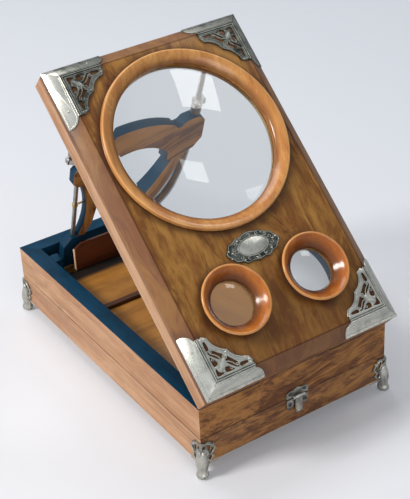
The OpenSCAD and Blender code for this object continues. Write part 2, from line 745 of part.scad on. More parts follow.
module leg_left() { on_strut() color(blue_paint) mirror([1, 0, 0]) strut_leg(); }
foot_in = 54;
foot_out = 78;
foot_bottom_r = 8;
rod_seat_r = 14;
module strut_feet() {
    on_strut() color(blue_paint) both_sides() difference() {
        strut_board([[foot_in, -foot_bottom_r], [foot_out, -foot_bottom_r], [foot_out, foot_top_r - 10],
                     [foot_out - 8, foot_top_r], [foot_in, foot_top_r]]);
        translate([foot_out, 0, 0]) along_x(2 * (foot_out - foot_in) - 10, pivot_r + bore_slip);
        translate([rod_x, 0, rod_seat_r]) cylinder(h = foot_top_r, r = rod_d / 2 + bore_slip, $fn = 48);
    }
}
module lower_rods() {
    on_strut() color(steel) both_sides() translate([rod_x, 0, rod_seat_r + 0.2])
        cylinder(h = rod_top - rod_seat_r - 0.2, r = rod_d / 2, $fn = 48);
}
// Clip: a collar round the rod and beside it a fork that the stay lies in, open to the back
module stay_clips() {
    slot = stay_d / 2 + slip;
    collar_r = rod_d / 2 + clip_wall;
    fork = slot + clip_wall;
    dx = stay_x - rod_x;
    fork_q = lap_q - (clip_hi - stay_foot_r) * tan(stay_lean);
    on_strut() color(steel) both_sides() translate([rod_x, 0, clip_lo]) linear_extrude(clip_hi - clip_lo)
        difference() {
            union() {
                circle(r = collar_r, $fn = 48);
                polygon([[-collar_r, 0], [collar_r, -1], [dx + fork, fork_q - slot],
                         [dx - fork, fork_q - slot]]);
                translate([dx - fork, fork_q - fork]) square([2 * fork, lap_q + 2 * slot - fork_q]);
            }
            circle(r = rod_d / 2 + bore_slip, $fn = 48);
            translate([dx, fork_q]) circle(r = slot, $fn = 48);
            translate([dx - slot, fork_q]) square([2 * slot, lap_q + 2 * slot - fork_q]);
        }
}
eye_ring_place = 76;
eye_ring_h = 3;
eye_ring_wall = 0.7;
eye_shank_r = 1;
eye_shank_l = 8.6;
eye_shank_out = rod_d / 2 + 0.25 + eye_shank_l / 2;
module rod_eyes() {
    on_strut() color(brass) both_sides() translate([rod_x, 0, eye_ring_place]) difference() {
        union() {
            cylinder(h = eye_ring_h, r = rod_d / 2 + eye_ring_wall, center = true, $fn = 48);
            translate([-eye_shank_out, 0, 0]) along_x(eye_shank_l, eye_shank_r);
        }
        cylinder(h = eye_ring_h + 1, r = rod_d / 2 + bore_slip, center = true, $fn = 48);
        translate([-rod_x, 0, -eye_ring_place]) strut_leg();
    }
}
// Bearing blocks on the side walls and the pins that the strut swings on
module bearing_pin_room() {
    translate([inner_x, strut_y, strut_z]) along_x(16, pivot_r + bore_slip);
}
module strut_bearings() {
    on_case() color(blue_paint) both_sides() difference() {
        translate([foot_out + 0.5, strut_y - 7, floor_top]) cube([inner_x - foot_out - 0.5, 14, 18.5]);
        translate([inner_x, strut_y, strut_z]) along_x(40, pivot_r);
    }
}
module strut_pins() {
    on_case() color(steel) both_sides() translate([foot_out + 1, strut_y, strut_z]) along_x(32, pivot_r);
}

// Card slide in its grooves, and the folding rest on it
module carriage_board() {
    on_case() color(walnut) translate([0, slide_y, floor_top + slip])
        translate([-inner_x - groove_d, 0, 0])
            cube([2 * (inner_x + groove_d), rest_front + rest_t - slide_y, carriage_t]);
}
rest_corner = [9, 5.5];
rest_edge = rest_pin_z + rest_h - rest_t / 2;
module card_rest_pivots() {
    gap = 0.4;
    plate = 2.5;
    on_case() color(brass) both_sides() {
        translate([rest_x + gap, rest_front, carriage_top]) cube([plate, rest_t, 3.4]);
        translate([rest_x + gap - 4, rest_pin_y, rest_pin_z]) along_x(10, rest_pin_r);
    }
}
module card_rest() {
    on_case() color(dark_wood) difference() {
        union() {
            translate([0, rest_front + rest_t, 0]) rotate([90, 0, 0]) linear_extrude(rest_t)
                polygon([[-rest_x, rest_pin_z], [rest_x, rest_pin_z], [rest_x, rest_edge - rest_corner[1]],
                         [rest_x - rest_corner[0], rest_edge], [rest_corner[0] - rest_x, rest_edge],
                         [-rest_x, rest_edge - rest_corner[1]]]);
            translate([0, rest_pin_y, rest_pin_z]) along_x(2 * rest_x, rest_t / 2);
        }
        both_sides() translate([rest_x, rest_pin_y, rest_pin_z]) along_x(22, rest_pin_r + bore_slip);
    }
}

module foot_front_left() { foot(false, false); }
module foot_front_right() { foot(true, false); }
module foot_rear_left() { foot(false, true); }
module foot_rear_right() { foot(true, true); }
module mount_front_left() { corner_mount(false, false); }
module mount_front_right() { corner_mount(true, false); }
module mount_rear_left() { corner_mount(false, true); }
module mount_rear_right() { corner_mount(true, true); }

lower_front();
lower_back();
lower_left();
lower_right();
bottom_board();
foot_front_left();
foot_front_right();
foot_rear_left();
foot_rear_right();
foot_pins();
catch_lower_plate();
catch_lower_screws();
case_hinge_leaves_lower();
case_hinge_pins();
upper_front();
upper_back();
upper_left();
upper_right();
case_floor();
strut_bearings();
strut_pins();
catch_upper_plate();
catch_upper_screws();
case_hinge_leaves_upper();
lid_hinge_leaves_case();
lid_hinge_pins();
catch_pin();
catch_tongue();
lid_panel();
lid_front_rail();
lid_rear_rail();
lid_left_rail();
lid_right_rail();
big_ring();
big_lens();
big_lens_retainer();
eyepiece_ring_left();
eyepiece_ring_right();
eyepiece_lenses();
eyepiece_retainers();
mount_front_left();
mount_front_right();
mount_rear_left();
mount_rear_right();
mount_pins();
cartouche();
cartouche_pins();
lid_hinge_leaves_lid();
stay_brackets();
stay_rods();
arch_rail();
leg_left();
leg_right();
strut_feet();
lower_rods();
stay_clips();
rod_eyes();
carriage_board();
card_rest_pivots();
card_rest();
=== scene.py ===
"""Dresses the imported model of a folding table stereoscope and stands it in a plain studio.

Three sets of axes are used, all in millimetres and all with x to the right:
case axes: y from the front face to the back, z up from the rim of the case;
lid axes: v (as y) along the lid from its front edge, n (as z) up through the lid;
strut axes: q (as y) towards the back, r (as z) up along the strut from its pivot.
"""

import json
import logging
import math
from dataclasses import dataclass, field
from enum import Enum
from typing import Iterable, Sequence

import bmesh
import bpy
from mathutils import Matrix, Vector

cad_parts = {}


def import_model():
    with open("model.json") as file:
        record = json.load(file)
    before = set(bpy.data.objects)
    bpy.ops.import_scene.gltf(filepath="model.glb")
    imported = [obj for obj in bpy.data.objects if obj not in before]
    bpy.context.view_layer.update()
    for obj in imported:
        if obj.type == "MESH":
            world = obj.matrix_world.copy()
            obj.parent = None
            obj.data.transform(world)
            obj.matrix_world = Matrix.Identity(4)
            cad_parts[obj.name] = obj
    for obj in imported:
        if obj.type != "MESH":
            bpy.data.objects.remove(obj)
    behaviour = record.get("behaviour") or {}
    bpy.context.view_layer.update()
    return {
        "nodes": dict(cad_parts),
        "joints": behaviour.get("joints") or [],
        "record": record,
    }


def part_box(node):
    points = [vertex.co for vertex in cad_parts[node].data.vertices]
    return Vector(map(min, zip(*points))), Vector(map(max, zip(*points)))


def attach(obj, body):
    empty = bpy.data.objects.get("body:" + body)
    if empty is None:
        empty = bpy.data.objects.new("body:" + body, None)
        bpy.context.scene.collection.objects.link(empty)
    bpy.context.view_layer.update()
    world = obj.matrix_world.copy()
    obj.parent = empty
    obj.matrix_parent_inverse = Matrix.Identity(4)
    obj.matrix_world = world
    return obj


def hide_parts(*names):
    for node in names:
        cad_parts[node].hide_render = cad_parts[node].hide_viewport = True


LOG = logging.getLogger("stereoscope")
MM = 0.001
STILL = Matrix.Identity(4)

Point = tuple[float, float]
Point3 = tuple[float, float, float]
Colour = tuple[float, float, float, float]
Piece = bpy.types.Object
Material = bpy.types.Material
Effects = dict[str, bpy.types.NodeTree]


def tone(red: int, green: int, blue: int) -> Colour:
    """Turns a screen colour, 0 to 255, into the linear colour that a shader wants.

    Args:
        red: Red of the screen colour.
        green: Green of the screen colour.
        blue: Blue of the screen colour.

    Returns:
        The linear colour with an alpha of 1.
    """
    parts = [channel / 255 for channel in (red, green, blue)]
    linear = [p / 12.92 if p <= 0.04045 else ((p + 0.055) / 1.055) ** 2.4 for p in parts]
    return (linear[0], linear[1], linear[2], 1.0)


def arc(centre: Point, radius: float, start: float, end: float, steps: int) -> list[Point]:
    """Points on an arc.

    Args:
        centre: Middle of the arc.
        radius: Radius of the arc.
        start: First angle in degrees.
        end: Last angle in degrees.
        steps: Number of equal steps.

    Returns:
        The steps + 1 points from start to end.
    """
    angles = [math.radians(start + (end - start) * k / steps) for k in range(steps + 1)]
    return [(centre[0] + radius * math.cos(a), centre[1] + radius * math.sin(a)) for a in angles]


def smooth_loop(points: Sequence[Point], steps: int = 4) -> list[Point]:
    """Rounds a closed outline into a curve through its points.

    Args:
        points: Corners of the outline, in order.
        steps: Points of the curve for each corner.

    Returns:
        The points of the curve.
    """
    count = len(points)
    curve = []
    for k in range(count):
        before, start, end, after = (Vector(points[(k + j - 1) % count]) for j in range(4))
        for step in range(steps):
            t = step / steps
            place = (2 * start + (end - before) * t + (2 * before - 5 * start + 4 * end - after) * t ** 2
                     + (3 * start - before - 3 * end + after) * t ** 3) / 2
            curve.append((place.x, place.y))
    return curve


def hollow(start: Point, end: Point, radius: float, steps: int = 10) -> list[Point]:
    """Points between two others on an arc that is hollow on the side away from the origin.

    Args:
        start: First end of the arc, left out of the result.
        end: Last end of the arc, left out of the result.
        radius: Radius of the arc.
        steps: Number of equal steps.

    Returns:
        The points between the ends.
    """
    middle = (Vector(start) + Vector(end)) / 2
    half = (Vector(end) - Vector(start)).length / 2
    side = Vector((start[1] - end[1], end[0] - start[0])).normalized()
    if side.x + side.y < 0:
        side = -side
    centre = middle + side * math.sqrt(radius ** 2 - half ** 2)
    first = math.atan2(start[1] - centre.y, start[0] - centre.x)
    turn = math.atan2(end[1] - centre.y, end[0] - centre.x) - first
    turn = (turn + math.pi) % (2 * math.pi) - math.pi
    angles = [first + turn * k / steps for k in range(1, steps)]
    return [(centre.x + radius * math.cos(a), centre.y + radius * math.sin(a)) for a in angles]


def mirrored(points: Sequence[Point]) -> list[Point]:
    """The same points on the other side of the diagonal."""
    return [(y, x) for x, y in points]


@dataclass(frozen=True)
class Place:
    """Axes in millimetres that a sub-assembly is built in, and how they stand in the row frame."""

    origin: Vector
    turn: float

    def matrix(self) -> Matrix:
        """Matrix from these axes to the row frame."""
        return Matrix.Translation(self.origin) @ Matrix.Rotation(self.turn, 4, "X") @ Matrix.Scale(MM, 4)

    def point(self, x: float, y: float, z: float) -> Vector:
        """A point of these axes in the row frame."""
        return self.matrix() @ Vector((x, y, z))


@dataclass(frozen=True)
class Layout:
    """Driving sizes of the object in millimetres and degrees, as the model has them."""

    case_w: float = 210.0
    case_d: float = 335.0
    case_h: float = 63.0
    wall_t: float = 16.5
    seam_drop: float = 34.0
    lid_l: float = 330.0
    lid_t: float = 33.0
    recess_n: float = 17.0
    rear_rail_w: float = 15.0
    bevel_w: float = 11.5
    bevel_h: float = 9.5
    hinge_y: float = 1.0
    tilt: float = 41.0
    lean: float = 17.4
    big_v: float = 221.5
    big_r: float = 78.0
    big_ring_r: float = 91.0
    eye_v: float = 69.5
    eye_x: float = 43.5
    eye_r: float = 21.0
    eye_ring_r: float = 33.0

    @property
    def inner_x(self) -> float:
        """Half of the inner width of the case."""
        return self.case_w / 2 - self.wall_t

    @property
    def side_h(self) -> float:
        """Height of the lid's upright sides, below the bevel."""
        return self.lid_t - self.bevel_h


SIZES = Layout()


@dataclass(frozen=True)
class Axes:
    """The three sets of axes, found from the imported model."""

    case: Place
    lid: Place
    strut: Place

    @classmethod
    def from_frame(cls, joints: Iterable[dict]) -> "Axes":
        """Finds the axes from the walls' box and the joints' places.

        Args:
            joints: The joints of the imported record.

        Returns:
            The axes in the row frame at rest.
        """
        pivot = {j["name"]: Vector(j["pos_m"]) for j in joints if "pos_m" in j}
        low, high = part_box("upper_front")
        case = Place(Vector((0.0, low.y, high.z)), 0.0)
        tilt = math.radians(SIZES.tilt)
        along = Vector((0.0, math.cos(tilt), math.sin(tilt)))
        lid = Place(pivot["lid_tilt"] - along * SIZES.hinge_y * MM, tilt)
        return cls(case, lid, Place(pivot["strut_fold"], math.radians(SIZES.lean)))


class Bench:
    """The few moves that every piece is made with."""

    @staticmethod
    def clear() -> None:
        """Leaves edit mode and deselects everything."""
        if bpy.context.object and bpy.context.object.mode != "OBJECT":
            bpy.ops.object.mode_set(mode="OBJECT")
        bpy.ops.object.select_all(action="DESELECT")

    @staticmethod
    def hold(*pieces: Piece) -> None:
        """Selects pieces alone and makes the first active.

        Args:
            pieces: The pieces.
        """
        Bench.clear()
        for piece in pieces:
            piece.select_set(True)
        bpy.context.view_layer.objects.active = pieces[0]

    @staticmethod
    def edit(piece: Piece, select: bool = True) -> None:
        """Enters edit mode on one piece.

        Args:
            piece: The piece.
            select: True selects all of it, False nothing.
        """
        Bench.hold(piece)
        bpy.ops.object.mode_set(mode="EDIT")
        bpy.ops.mesh.select_all(action="SELECT" if select else "DESELECT")

    @staticmethod
    def named(piece: Piece, name: str) -> Piece:
        """Names a piece and its mesh."""
        piece.name = piece.data.name = name
        return piece

    @staticmethod
    def settle(piece: Piece) -> Piece:
        """Puts a piece's place into its mesh.

        Args:
            piece: The piece.

        Returns:
            The same piece.
        """
        Bench.hold(piece)
        bpy.ops.object.transform_apply(location=True, rotation=True, scale=True)
        return piece

    @staticmethod
    def move(piece: Piece, matrix: Matrix) -> Piece:
        """Moves a piece, with its place in its mesh and its faces still outwards.

        Args:
            piece: The piece.
            matrix: The move.

        Returns:
            The same piece.
        """
        Bench.settle(piece)
        piece.matrix_world = matrix
        Bench.settle(piece)
        if matrix.determinant() < 0:
            Bench.edit(piece)
            bpy.ops.mesh.flip_normals()
            bpy.ops.object.mode_set(mode="OBJECT")
        return piece

    @staticmethod
    def copy(piece: Piece, matrix: Matrix) -> Piece:
        """Copies a piece with its own mesh.

        Args:
            piece: The piece to copy.
            matrix: Move of the copy.

        Returns:
            The copy.
        """
        Bench.hold(piece)
        bpy.ops.object.duplicate(linked=False)
        return Bench.move(bpy.context.object, matrix)

    @staticmethod
    def join(pieces: Sequence[Piece], name: str) -> Piece:
        """Joins several pieces into one.

        Args:
            pieces: The pieces.
            name: Name of the whole.

        Returns:
            The whole.
        """
        Bench.hold(*pieces)
        if len(pieces) > 1:
            bpy.ops.object.join()
        return Bench.named(bpy.context.object, name)

    @staticmethod
    def apply(piece: Piece, kind: str, **values: object) -> None:
        """Adds a modifier and applies it.

        Args:
            piece: The piece.
            kind: Type of the modifier.
            values: Its settings.
        """
        Bench.hold(piece)
        modifier = piece.modifiers.new(kind.title(), kind)
        for key, value in values.items():
            setattr(modifier, key, value)
        bpy.ops.object.modifier_apply(modifier=modifier.name)

    @staticmethod
    def drill(piece: Piece, **cylinder: object) -> None:
        """Cuts a round hole.

        Args:
            piece: The piece.
            cylinder: Sides, radius, depth, place and turn of the drill.
        """
        Bench.clear()
        bpy.ops.mesh.primitive_cylinder_add(**cylinder)
        drill = bpy.context.object
        Bench.apply(piece, "BOOLEAN", object=drill, operation="DIFFERENCE", solver="EXACT")
        bpy.data.objects.remove(drill)

    @staticmethod
    def outward(piece: Piece) -> None:
        """Merges doubles and turns all faces outwards.

        Args:
            piece: The piece.
        """
        Bench.edit(piece)
        bpy.ops.mesh.remove_doubles(threshold=0.0005)
        bpy.ops.mesh.normals_make_consistent(inside=False)
        bpy.ops.object.mode_set(mode="OBJECT")

    @staticmethod
    def smooth(piece: Piece, angle: float = 30.0) -> None:
        """Smooth shading, with edges over the angle kept sharp."""
        Bench.hold(piece)
        bpy.ops.object.shade_smooth_by_angle(angle=math.radians(angle))

    @staticmethod
    def lathe(name: str, profile: Sequence[Point], steps: int, ring: bool) -> Piece:
        """Turns a profile about the z axis.

        Args:
            name: Name of the piece.
            profile: Radius and height of each point, in order along the surface.
            steps: Sides of the turned piece.
            ring: True closes the last point to the first; False closes both ends on the axis.

        Returns:
            The turned piece.
        """
        Bench.clear()
        radius, height = profile[0]
        bpy.ops.mesh.primitive_circle_add(vertices=steps, radius=radius, location=(0, 0, height))
        piece = Bench.named(Bench.settle(bpy.context.object), name)
        Bench.edit(piece)
        for new_radius, new_height in profile[1:]:
            grow = new_radius / radius
            bpy.ops.mesh.extrude_region_move(TRANSFORM_OT_translate={"value": (0, 0, new_height - height)})
            bpy.ops.transform.resize(value=(grow, grow, 1.0), center_override=(0, 0, new_height))
            radius, height = new_radius, new_height
        bpy.ops.mesh.select_all(action="DESELECT")
        bpy.ops.mesh.select_mode(type="VERT")
        bpy.ops.mesh.select_non_manifold()
        if ring:
            bpy.ops.mesh.select_mode(type="EDGE")
            bpy.ops.mesh.bridge_edge_loops()
        else:
            bpy.ops.mesh.merge(type="COLLAPSE")
        bpy.ops.mesh.select_all(action="SELECT")
        bpy.ops.mesh.normals_make_consistent(inside=False)
        bpy.ops.object.mode_set(mode="OBJECT")
        return piece

    @staticmethod
    def curve(name: str, lines: Iterable[Sequence[Point3]], closed: bool, tip: float = 1.0,
              **settings: object) -> Piece:
        """Makes a mesh from a curve of straight segments.

        Args:
            name: Name of the piece.
            lines: Points of each line of the curve.
            closed: True joins the last point of a line to its first.
            tip: Thickness at the last point as a share of that at the first.
            settings: Settings of the curve.

        Returns:
            The mesh.
        """
        curve = bpy.data.curves.new(name, "CURVE")
        for key, value in settings.items():
            setattr(curve, key, value)
        for line in lines:
            spline = curve.splines.new("POLY")
            spline.points.add(len(line) - 1)
            for k, (point, place) in enumerate(zip(spline.points, line)):
                point.co = (*place, 1.0)
                point.radius = 1 + (tip - 1) * k / max(len(line) - 1, 1)
            spline.use_cyclic_u = closed
        piece = bpy.data.objects.new(name, curve)
        bpy.context.scene.collection.objects.link(piece)
        Bench.hold(piece)
        bpy.ops.object.convert(target="MESH")
        piece = Bench.named(bpy.context.object, name)
        Bench.outward(piece)
        return piece

    @staticmethod
    def plate(name: str, outlines: Sequence[Sequence[Point]], low: float, high: float,
              ease: float) -> Piece:
        """Makes a flat plate cut to an outline, with holes, its edges rounded.

        Args:
            name: Name of the piece.
            outlines: The outer outline and then the outlines of the holes.
            low: Height of the underside.
            high: Height of the top.
            ease: Radius of the rounded edges.

        Returns:
            The plate as a mesh.
        """
        lines = [[(x, y, 0.0) for x, y in outline] for outline in outlines]
        piece = Bench.curve(name, lines, True, dimensions="2D", fill_mode="BOTH", extrude=(high - low) / 2)
        Bench.move(piece, Matrix.Translation((0.0, 0.0, (low + high) / 2)))
        Bench.apply(piece, "BEVEL", width=ease, segments=2, limit_method="ANGLE",
                    angle_limit=math.radians(50), use_clamp_overlap=True)
        return piece

    @staticmethod
    def wire(name: str, path: Sequence[Point3], radius: float, closed: bool = False,
             tip: float = 1.0) -> Piece:
        """A round wire or raised line along a path, thinner or thicker at its last end."""
        return Bench.curve(name, [path], closed, tip, dimensions="3D", bevel_depth=radius,
                           bevel_resolution=1, use_fill_caps=not closed)


class Casting:
    """Gathers the plates, raised lines and bosses of one cast ornament and joins them."""

    def __init__(self, name: str) -> None:
        """Starts the casting."""
        self.name = name
        self.parts: list[Piece] = []

    def add(self, piece: Piece, move: Matrix = STILL) -> None:
        """Adds a piece, moved by a matrix."""
        self.parts.append(piece if move == STILL else Bench.move(piece, move))

    def plate(self, outlines: Sequence[Sequence[Point]], low: float, high: float, ease: float = 0.3,
              move: Matrix = STILL) -> None:
        """Adds a plate, moved by a matrix."""
        self.add(Bench.plate(self.name, outlines, low, high, ease), move)

    def line(self, path: Sequence[Point], height: float, radius: float, closed: bool = False,
             tip: float = 1.0, move: Matrix = STILL) -> None:
        """Adds a raised line along a flat path at one height, moved by a matrix."""
        self.add(Bench.wire(self.name, [(x, y, height) for x, y in path], radius, closed, tip), move)

    def scroll(self, centre: Point, reach: float, start: float, turn: float, height: float,
               radius: float, move: Matrix = STILL) -> None:
        """Adds a scroll that winds inwards and grows thinner.

        Args:
            centre: Middle of the scroll.
            reach: Distance of its outer end from the middle.
            start: Angle of its outer end in degrees.
            turn: Angle that it winds through in degrees.
            height: Height of its middle line.
            radius: Radius of the raised line at its outer end.
            move: Matrix that moves it.
        """
        steps = 16
        wound = 0.75
        path = []
        for k in range(steps + 1):
            angle = math.radians(start + turn * k / steps)
            length = reach * (1 - wound * k / steps)
            path.append((centre[0] + length * math.cos(angle), centre[1] + length * math.sin(angle)))
        self.line(path, height, radius, tip=0.6, move=move)

    def boss(self, place: Point, height: float, radius: float, rise: float, move: Matrix = STILL) -> None:
        """Adds a small round boss.

        Args:
            place: Its middle.
            height: Height of the surface that it stands on.
            radius: Its radius.
            rise: How far it stands proud.
            move: Matrix that moves it.
        """
        foot = radius * 1.05
        profile = [(foot, -0.3), (foot, rise * 0.1)]
        profile += [(radius * math.cos(a), rise * math.sin(a)) for a in (0.25, 0.6, 0.95, 1.25)]
        profile.append((radius * 0.08, rise))
        dome = Bench.lathe(self.name, profile, 16, ring=False)
        self.add(dome, move @ Matrix.Translation((*place, height)))

    def join(self) -> Piece:
        """Joins all that was added into one piece."""
        return Bench.join(self.parts, self.name)


class Signal:
    """An output of a shader node that can be calculated with."""

    def __init__(self, graph: "Graph", socket: bpy.types.NodeSocket) -> None:
        """Keeps the output and its graph."""
        self.graph = graph
        self.socket = socket

    def __add__(self, other: object) -> "Signal":
        """Sum."""
        return self.graph.math("ADD", self, other)

    def __sub__(self, other: object) -> "Signal":
        """Difference."""
        return self.graph.math("SUBTRACT", self, other)

    def __rsub__(self, other: object) -> "Signal":
        """Difference from a number."""
        return self.graph.math("SUBTRACT", other, self)

    def __mul__(self, other: object) -> "Signal":
        """Product."""
        return self.graph.math("MULTIPLY", self, other)

    def __abs__(self) -> "Signal":
        """Size without its sign."""
        return self.graph.math("ABSOLUTE", self)

    def ramp(self, low: float, high: float, start: float = 0.0, end: float = 1.0) -> "Signal":
        """Maps a range of the value smoothly to another range."""
        return self.graph.make("ShaderNodeMapRange", {0: self, 1: low, 2: high, 3: start, 4: end},
                               interpolation_type="SMOOTHSTEP")

    def peak(self, middle: float, width: float, strength: float) -> "Signal":
        """A given strength where the value passes a middle, and nothing beyond a width."""
        return abs(self - middle).ramp(0.0, width, strength, 0.0)


class Graph:
    """Adds nodes to a shader tree and joins them."""

    def __init__(self, tree: bpy.types.NodeTree) -> None:
        """Takes the tree and empties it."""
        self.tree = tree
        tree.nodes.clear()

    def feed(self, node: bpy.types.Node, inputs: dict[object, object]) -> None:
        """Links or sets inputs of a node.

        Args:
            node: The node.
            inputs: Signals or values for its inputs, by name or index.
        """
        for key, value in inputs.items():
            if isinstance(value, Signal):
                self.tree.links.new(value.socket, node.inputs[key])
            else:
                node.inputs[key].default_value = value

    def add(self, kind: str, inputs: dict[object, object] | None = None,
            **settings: object) -> bpy.types.Node:
        """Adds a node.

        Args:
            kind: The node's type.
            inputs: Signals or values for its inputs, by name or index.
            settings: Attributes of the node.

        Returns:
            The new node.
        """
        node = self.tree.nodes.new(kind)
        for key, value in settings.items():
            setattr(node, key, value)
        self.feed(node, inputs or {})
        return node

    def make(self, kind: str, inputs: dict[object, object] | None = None, output: int | str = 0,
             **settings: object) -> Signal:
        """Adds a node and gives one of its outputs."""
        return Signal(self, self.add(kind, inputs, **settings).outputs[output])

    def math(self, operation: str, *values: object, clamp: bool = False) -> Signal:
        """One math operation on signals or values."""
        return self.make("ShaderNodeMath", dict(enumerate(values)), operation=operation, use_clamp=clamp)

    def vector(self, operation: str, *values: object, output: int = 0) -> Signal:
        """One vector operation."""
        return self.make("ShaderNodeVectorMath", dict(enumerate(values)), output, operation=operation)

    def mix(self, factor: object, first: object, second: object) -> Signal:
        """Goes from one colour to another by a factor."""
        return self.make("ShaderNodeMix", {0: factor, 6: first, 7: second}, 2, data_type="RGBA")

    def blend(self, mask: Signal, first: object, second: object) -> Signal:
        """Goes from one value to another by a mask."""
        return self.make("ShaderNodeMix", {0: mask, 2: first, 3: second}, data_type="FLOAT")

    def noise(self, vector: Signal, scale: Point3, detail: float = 3.0, rough: float = 0.55) -> Signal:
        """Noise on a vector in millimetres, stretched by the length of its features on each axis."""
        spread = self.vector("MULTIPLY", vector, tuple(1 / length for length in scale))
        return self.make("ShaderNodeTexNoise",
                         {"Vector": spread, "Scale": 1.0, "Detail": detail, "Roughness": rough})


FLOAT = "NodeSocketFloat"
COLOUR = "NodeSocketColor"
VECTOR = "NodeSocketVector"


class Effect(Graph):
    """A shader node group that more than one finish uses."""

    def __init__(self, name: str, inputs: Sequence[tuple[str, str, object]],
                 outputs: Sequence[tuple[str, str]]) -> None:
        """Starts the group.

        Args:
            name: Name of the group.
            inputs: Name, socket type and default value of each input.
            outputs: Name and socket type of each output.
        """
        tree = bpy.data.node_groups.new(name, "ShaderNodeTree")
        for label, kind, default in inputs:
            socket = tree.interface.new_socket(label, in_out="INPUT", socket_type=kind)
            if default is not None:
                socket.default_value = default
        for label, kind in outputs:
            tree.interface.new_socket(label, in_out="OUTPUT", socket_type=kind)
        super().__init__(tree)
        given = self.add("NodeGroupInput").outputs
        self.given = {label: Signal(self, given[label]) for label, _, _ in inputs}

    def put_out(self, **outputs: Signal) -> bpy.types.NodeTree:
        """Links the group's outputs and gives the group."""
        self.add("NodeGroupOutput", outputs)
        return self.tree


def wood_grain() -> bpy.types.NodeTree:
    """Grain of a board whose fibres run along the second axis.

    Returns:
        The node group.
    """
    graph = Effect("wood_grain",
                   [("Vector", VECTOR, None), ("Light", COLOUR, None), ("Dark", COLOUR, None),
                    ("Vein", COLOUR, None), ("Figure", FLOAT, 0.3), ("Veins", FLOAT, 0.5),
                    ("Pores", FLOAT, 0.5), ("Stripe", FLOAT, 0.6)],
                   [("Color", COLOUR), ("Roughness", FLOAT), ("Height", FLOAT)])
    given = graph.given
    place, figure = given["Vector"], given["Figure"]
    drift = (graph.noise(place, (60.0, 130.0, 60.0), 2.0) - 0.5) * 80.0 * figure
    bent = graph.vector("ADD", place, graph.make("ShaderNodeCombineXYZ", {0: drift, 2: drift}))
    wide = graph.noise(bent, (17.0, 260.0, 17.0), 3.0, 0.5) - 0.5
    streaks = (graph.noise(bent, (2.4, 120.0, 2.4), 3.0, 0.6) - 0.5) * given["Stripe"]
    fibres = graph.noise(bent, (0.5, 26.0, 0.5), 2.0, 0.5)
    mottle = (graph.noise(bent, (8.0, 24.0, 8.0), 4.0, 0.62) - 0.5) * (figure * 1.6)
    body = wide + 0.5 + (streaks + mottle) + (fibres - 0.5) * 0.3
    colour = graph.mix(body.ramp(0.28, 0.74), given["Light"], given["Dark"])
    stain = graph.noise(bent, (30.0, 55.0, 30.0), 3.0, 0.55).ramp(0.54, 0.72, 0.0, 0.75)
    colour = graph.mix(stain * figure, colour, given["Vein"])
    vein = graph.noise(bent, (30.0, 260.0, 30.0), 2.0, 0.45).peak(0.5, 0.016, 1.0)
    vein = vein * graph.noise(place, (34.0, 60.0, 34.0)).ramp(0.45, 0.62) * given["Veins"]
    colour = graph.mix(vein, colour, given["Vein"])
    pores = graph.noise(bent, (0.4, 8.0, 0.4), 1.0).ramp(0.62, 0.7) * given["Pores"]
    colour = graph.mix(pores * 0.6, colour, given["Vein"])
    rough = graph.noise(place, (30.0, 60.0, 30.0), 3.0).ramp(0.3, 0.7, -0.05, 0.07) + pores * 0.15
    return graph.put_out(Color=colour, Roughness=rough, Height=fibres * 0.35 - pores)


def old_paint() -> bpy.types.NodeTree:
    """Old brushed paint: an uneven coat, rubbed through a little where the mask says an edge is near.

    Returns:
        The node group.
    """
    graph = Effect("old_paint",
                   [("Vector", VECTOR, None), ("Colour", COLOUR, None), ("Wood", COLOUR, None),
                    ("Cover", FLOAT, 1.0)],
                   [("Color", COLOUR), ("Mask", FLOAT), ("Height", FLOAT)])
    given = graph.given
    place = given["Vector"]
    cloud = graph.noise(place, (14.0, 30.0, 14.0), 4.0, 0.6)
    brush = graph.noise(place, (0.8, 22.0, 0.8), 2.0)
    shade = cloud.ramp(0.3, 0.7, 0.7, 1.25) + brush.ramp(0.3, 0.7, -0.1, 0.1)
    paint = graph.make("ShaderNodeVectorMath", {0: given["Colour"], "Scale": shade}, operation="SCALE")
    chips = graph.noise(place, (1.6, 3.0, 1.6), 3.0, 0.6).ramp(0.3, 0.75, 0.15, -0.35)
    mask = (given["Cover"] + chips).ramp(0.45, 0.55)
    return graph.put_out(Color=graph.mix(mask, given["Wood"], paint), Mask=mask, Height=brush * mask)


def cast_metal() -> bpy.types.NodeTree:
    """Surface of old cast metal: cloudy tarnish, small pits and bright rubbed places.

    Returns:
        The node group.
    """
    graph = Effect("cast_metal",
                   [("Vector", VECTOR, None), ("Bright", COLOUR, None), ("Tarnish", COLOUR, None),
                    ("Low", FLOAT, 0.0), ("Age", FLOAT, 0.5)],
                   [("Color", COLOUR), ("Roughness", FLOAT), ("Height", FLOAT)])
    given = graph.given
    cloud = graph.noise(given["Vector"], (9.0, 9.0, 9.0), 5.0, 0.65)
    specks = graph.noise(given["Vector"], (0.9, 0.9, 0.9), 2.0)
    dirt_and_shade = cloud.ramp(0.42, 0.72) * given["Age"] + specks.ramp(0.55, 0.75) * 0.25
    # Low adds each finish's dirt by place and, on the lid, painted shade on the rear mounts.
    dirt_and_shade = graph.math("ADD", dirt_and_shade, given["Low"], clamp=True)
    return graph.put_out(Color=graph.mix(dirt_and_shade, given["Bright"], given["Tarnish"]),
                         Roughness=dirt_and_shade * 0.25 + specks.ramp(0.3, 0.7, -0.04, 0.06),
                         Height=cloud * 0.6 + specks * 0.4)


class Grain(Enum):
    """Which way the fibres of a board run."""

    ACROSS = "x"
    ALONG = "y"
    UP = "z"


class Coat(Enum):
    """Where a wooden piece is painted."""

    BARE = "nowhere"
    CASE_WALL = "rim and inside of the case"
    LID_RAIL = "inside and underside of the lid"
    STRUT = "everything but the front face of the strut"
    ALL = "everywhere"


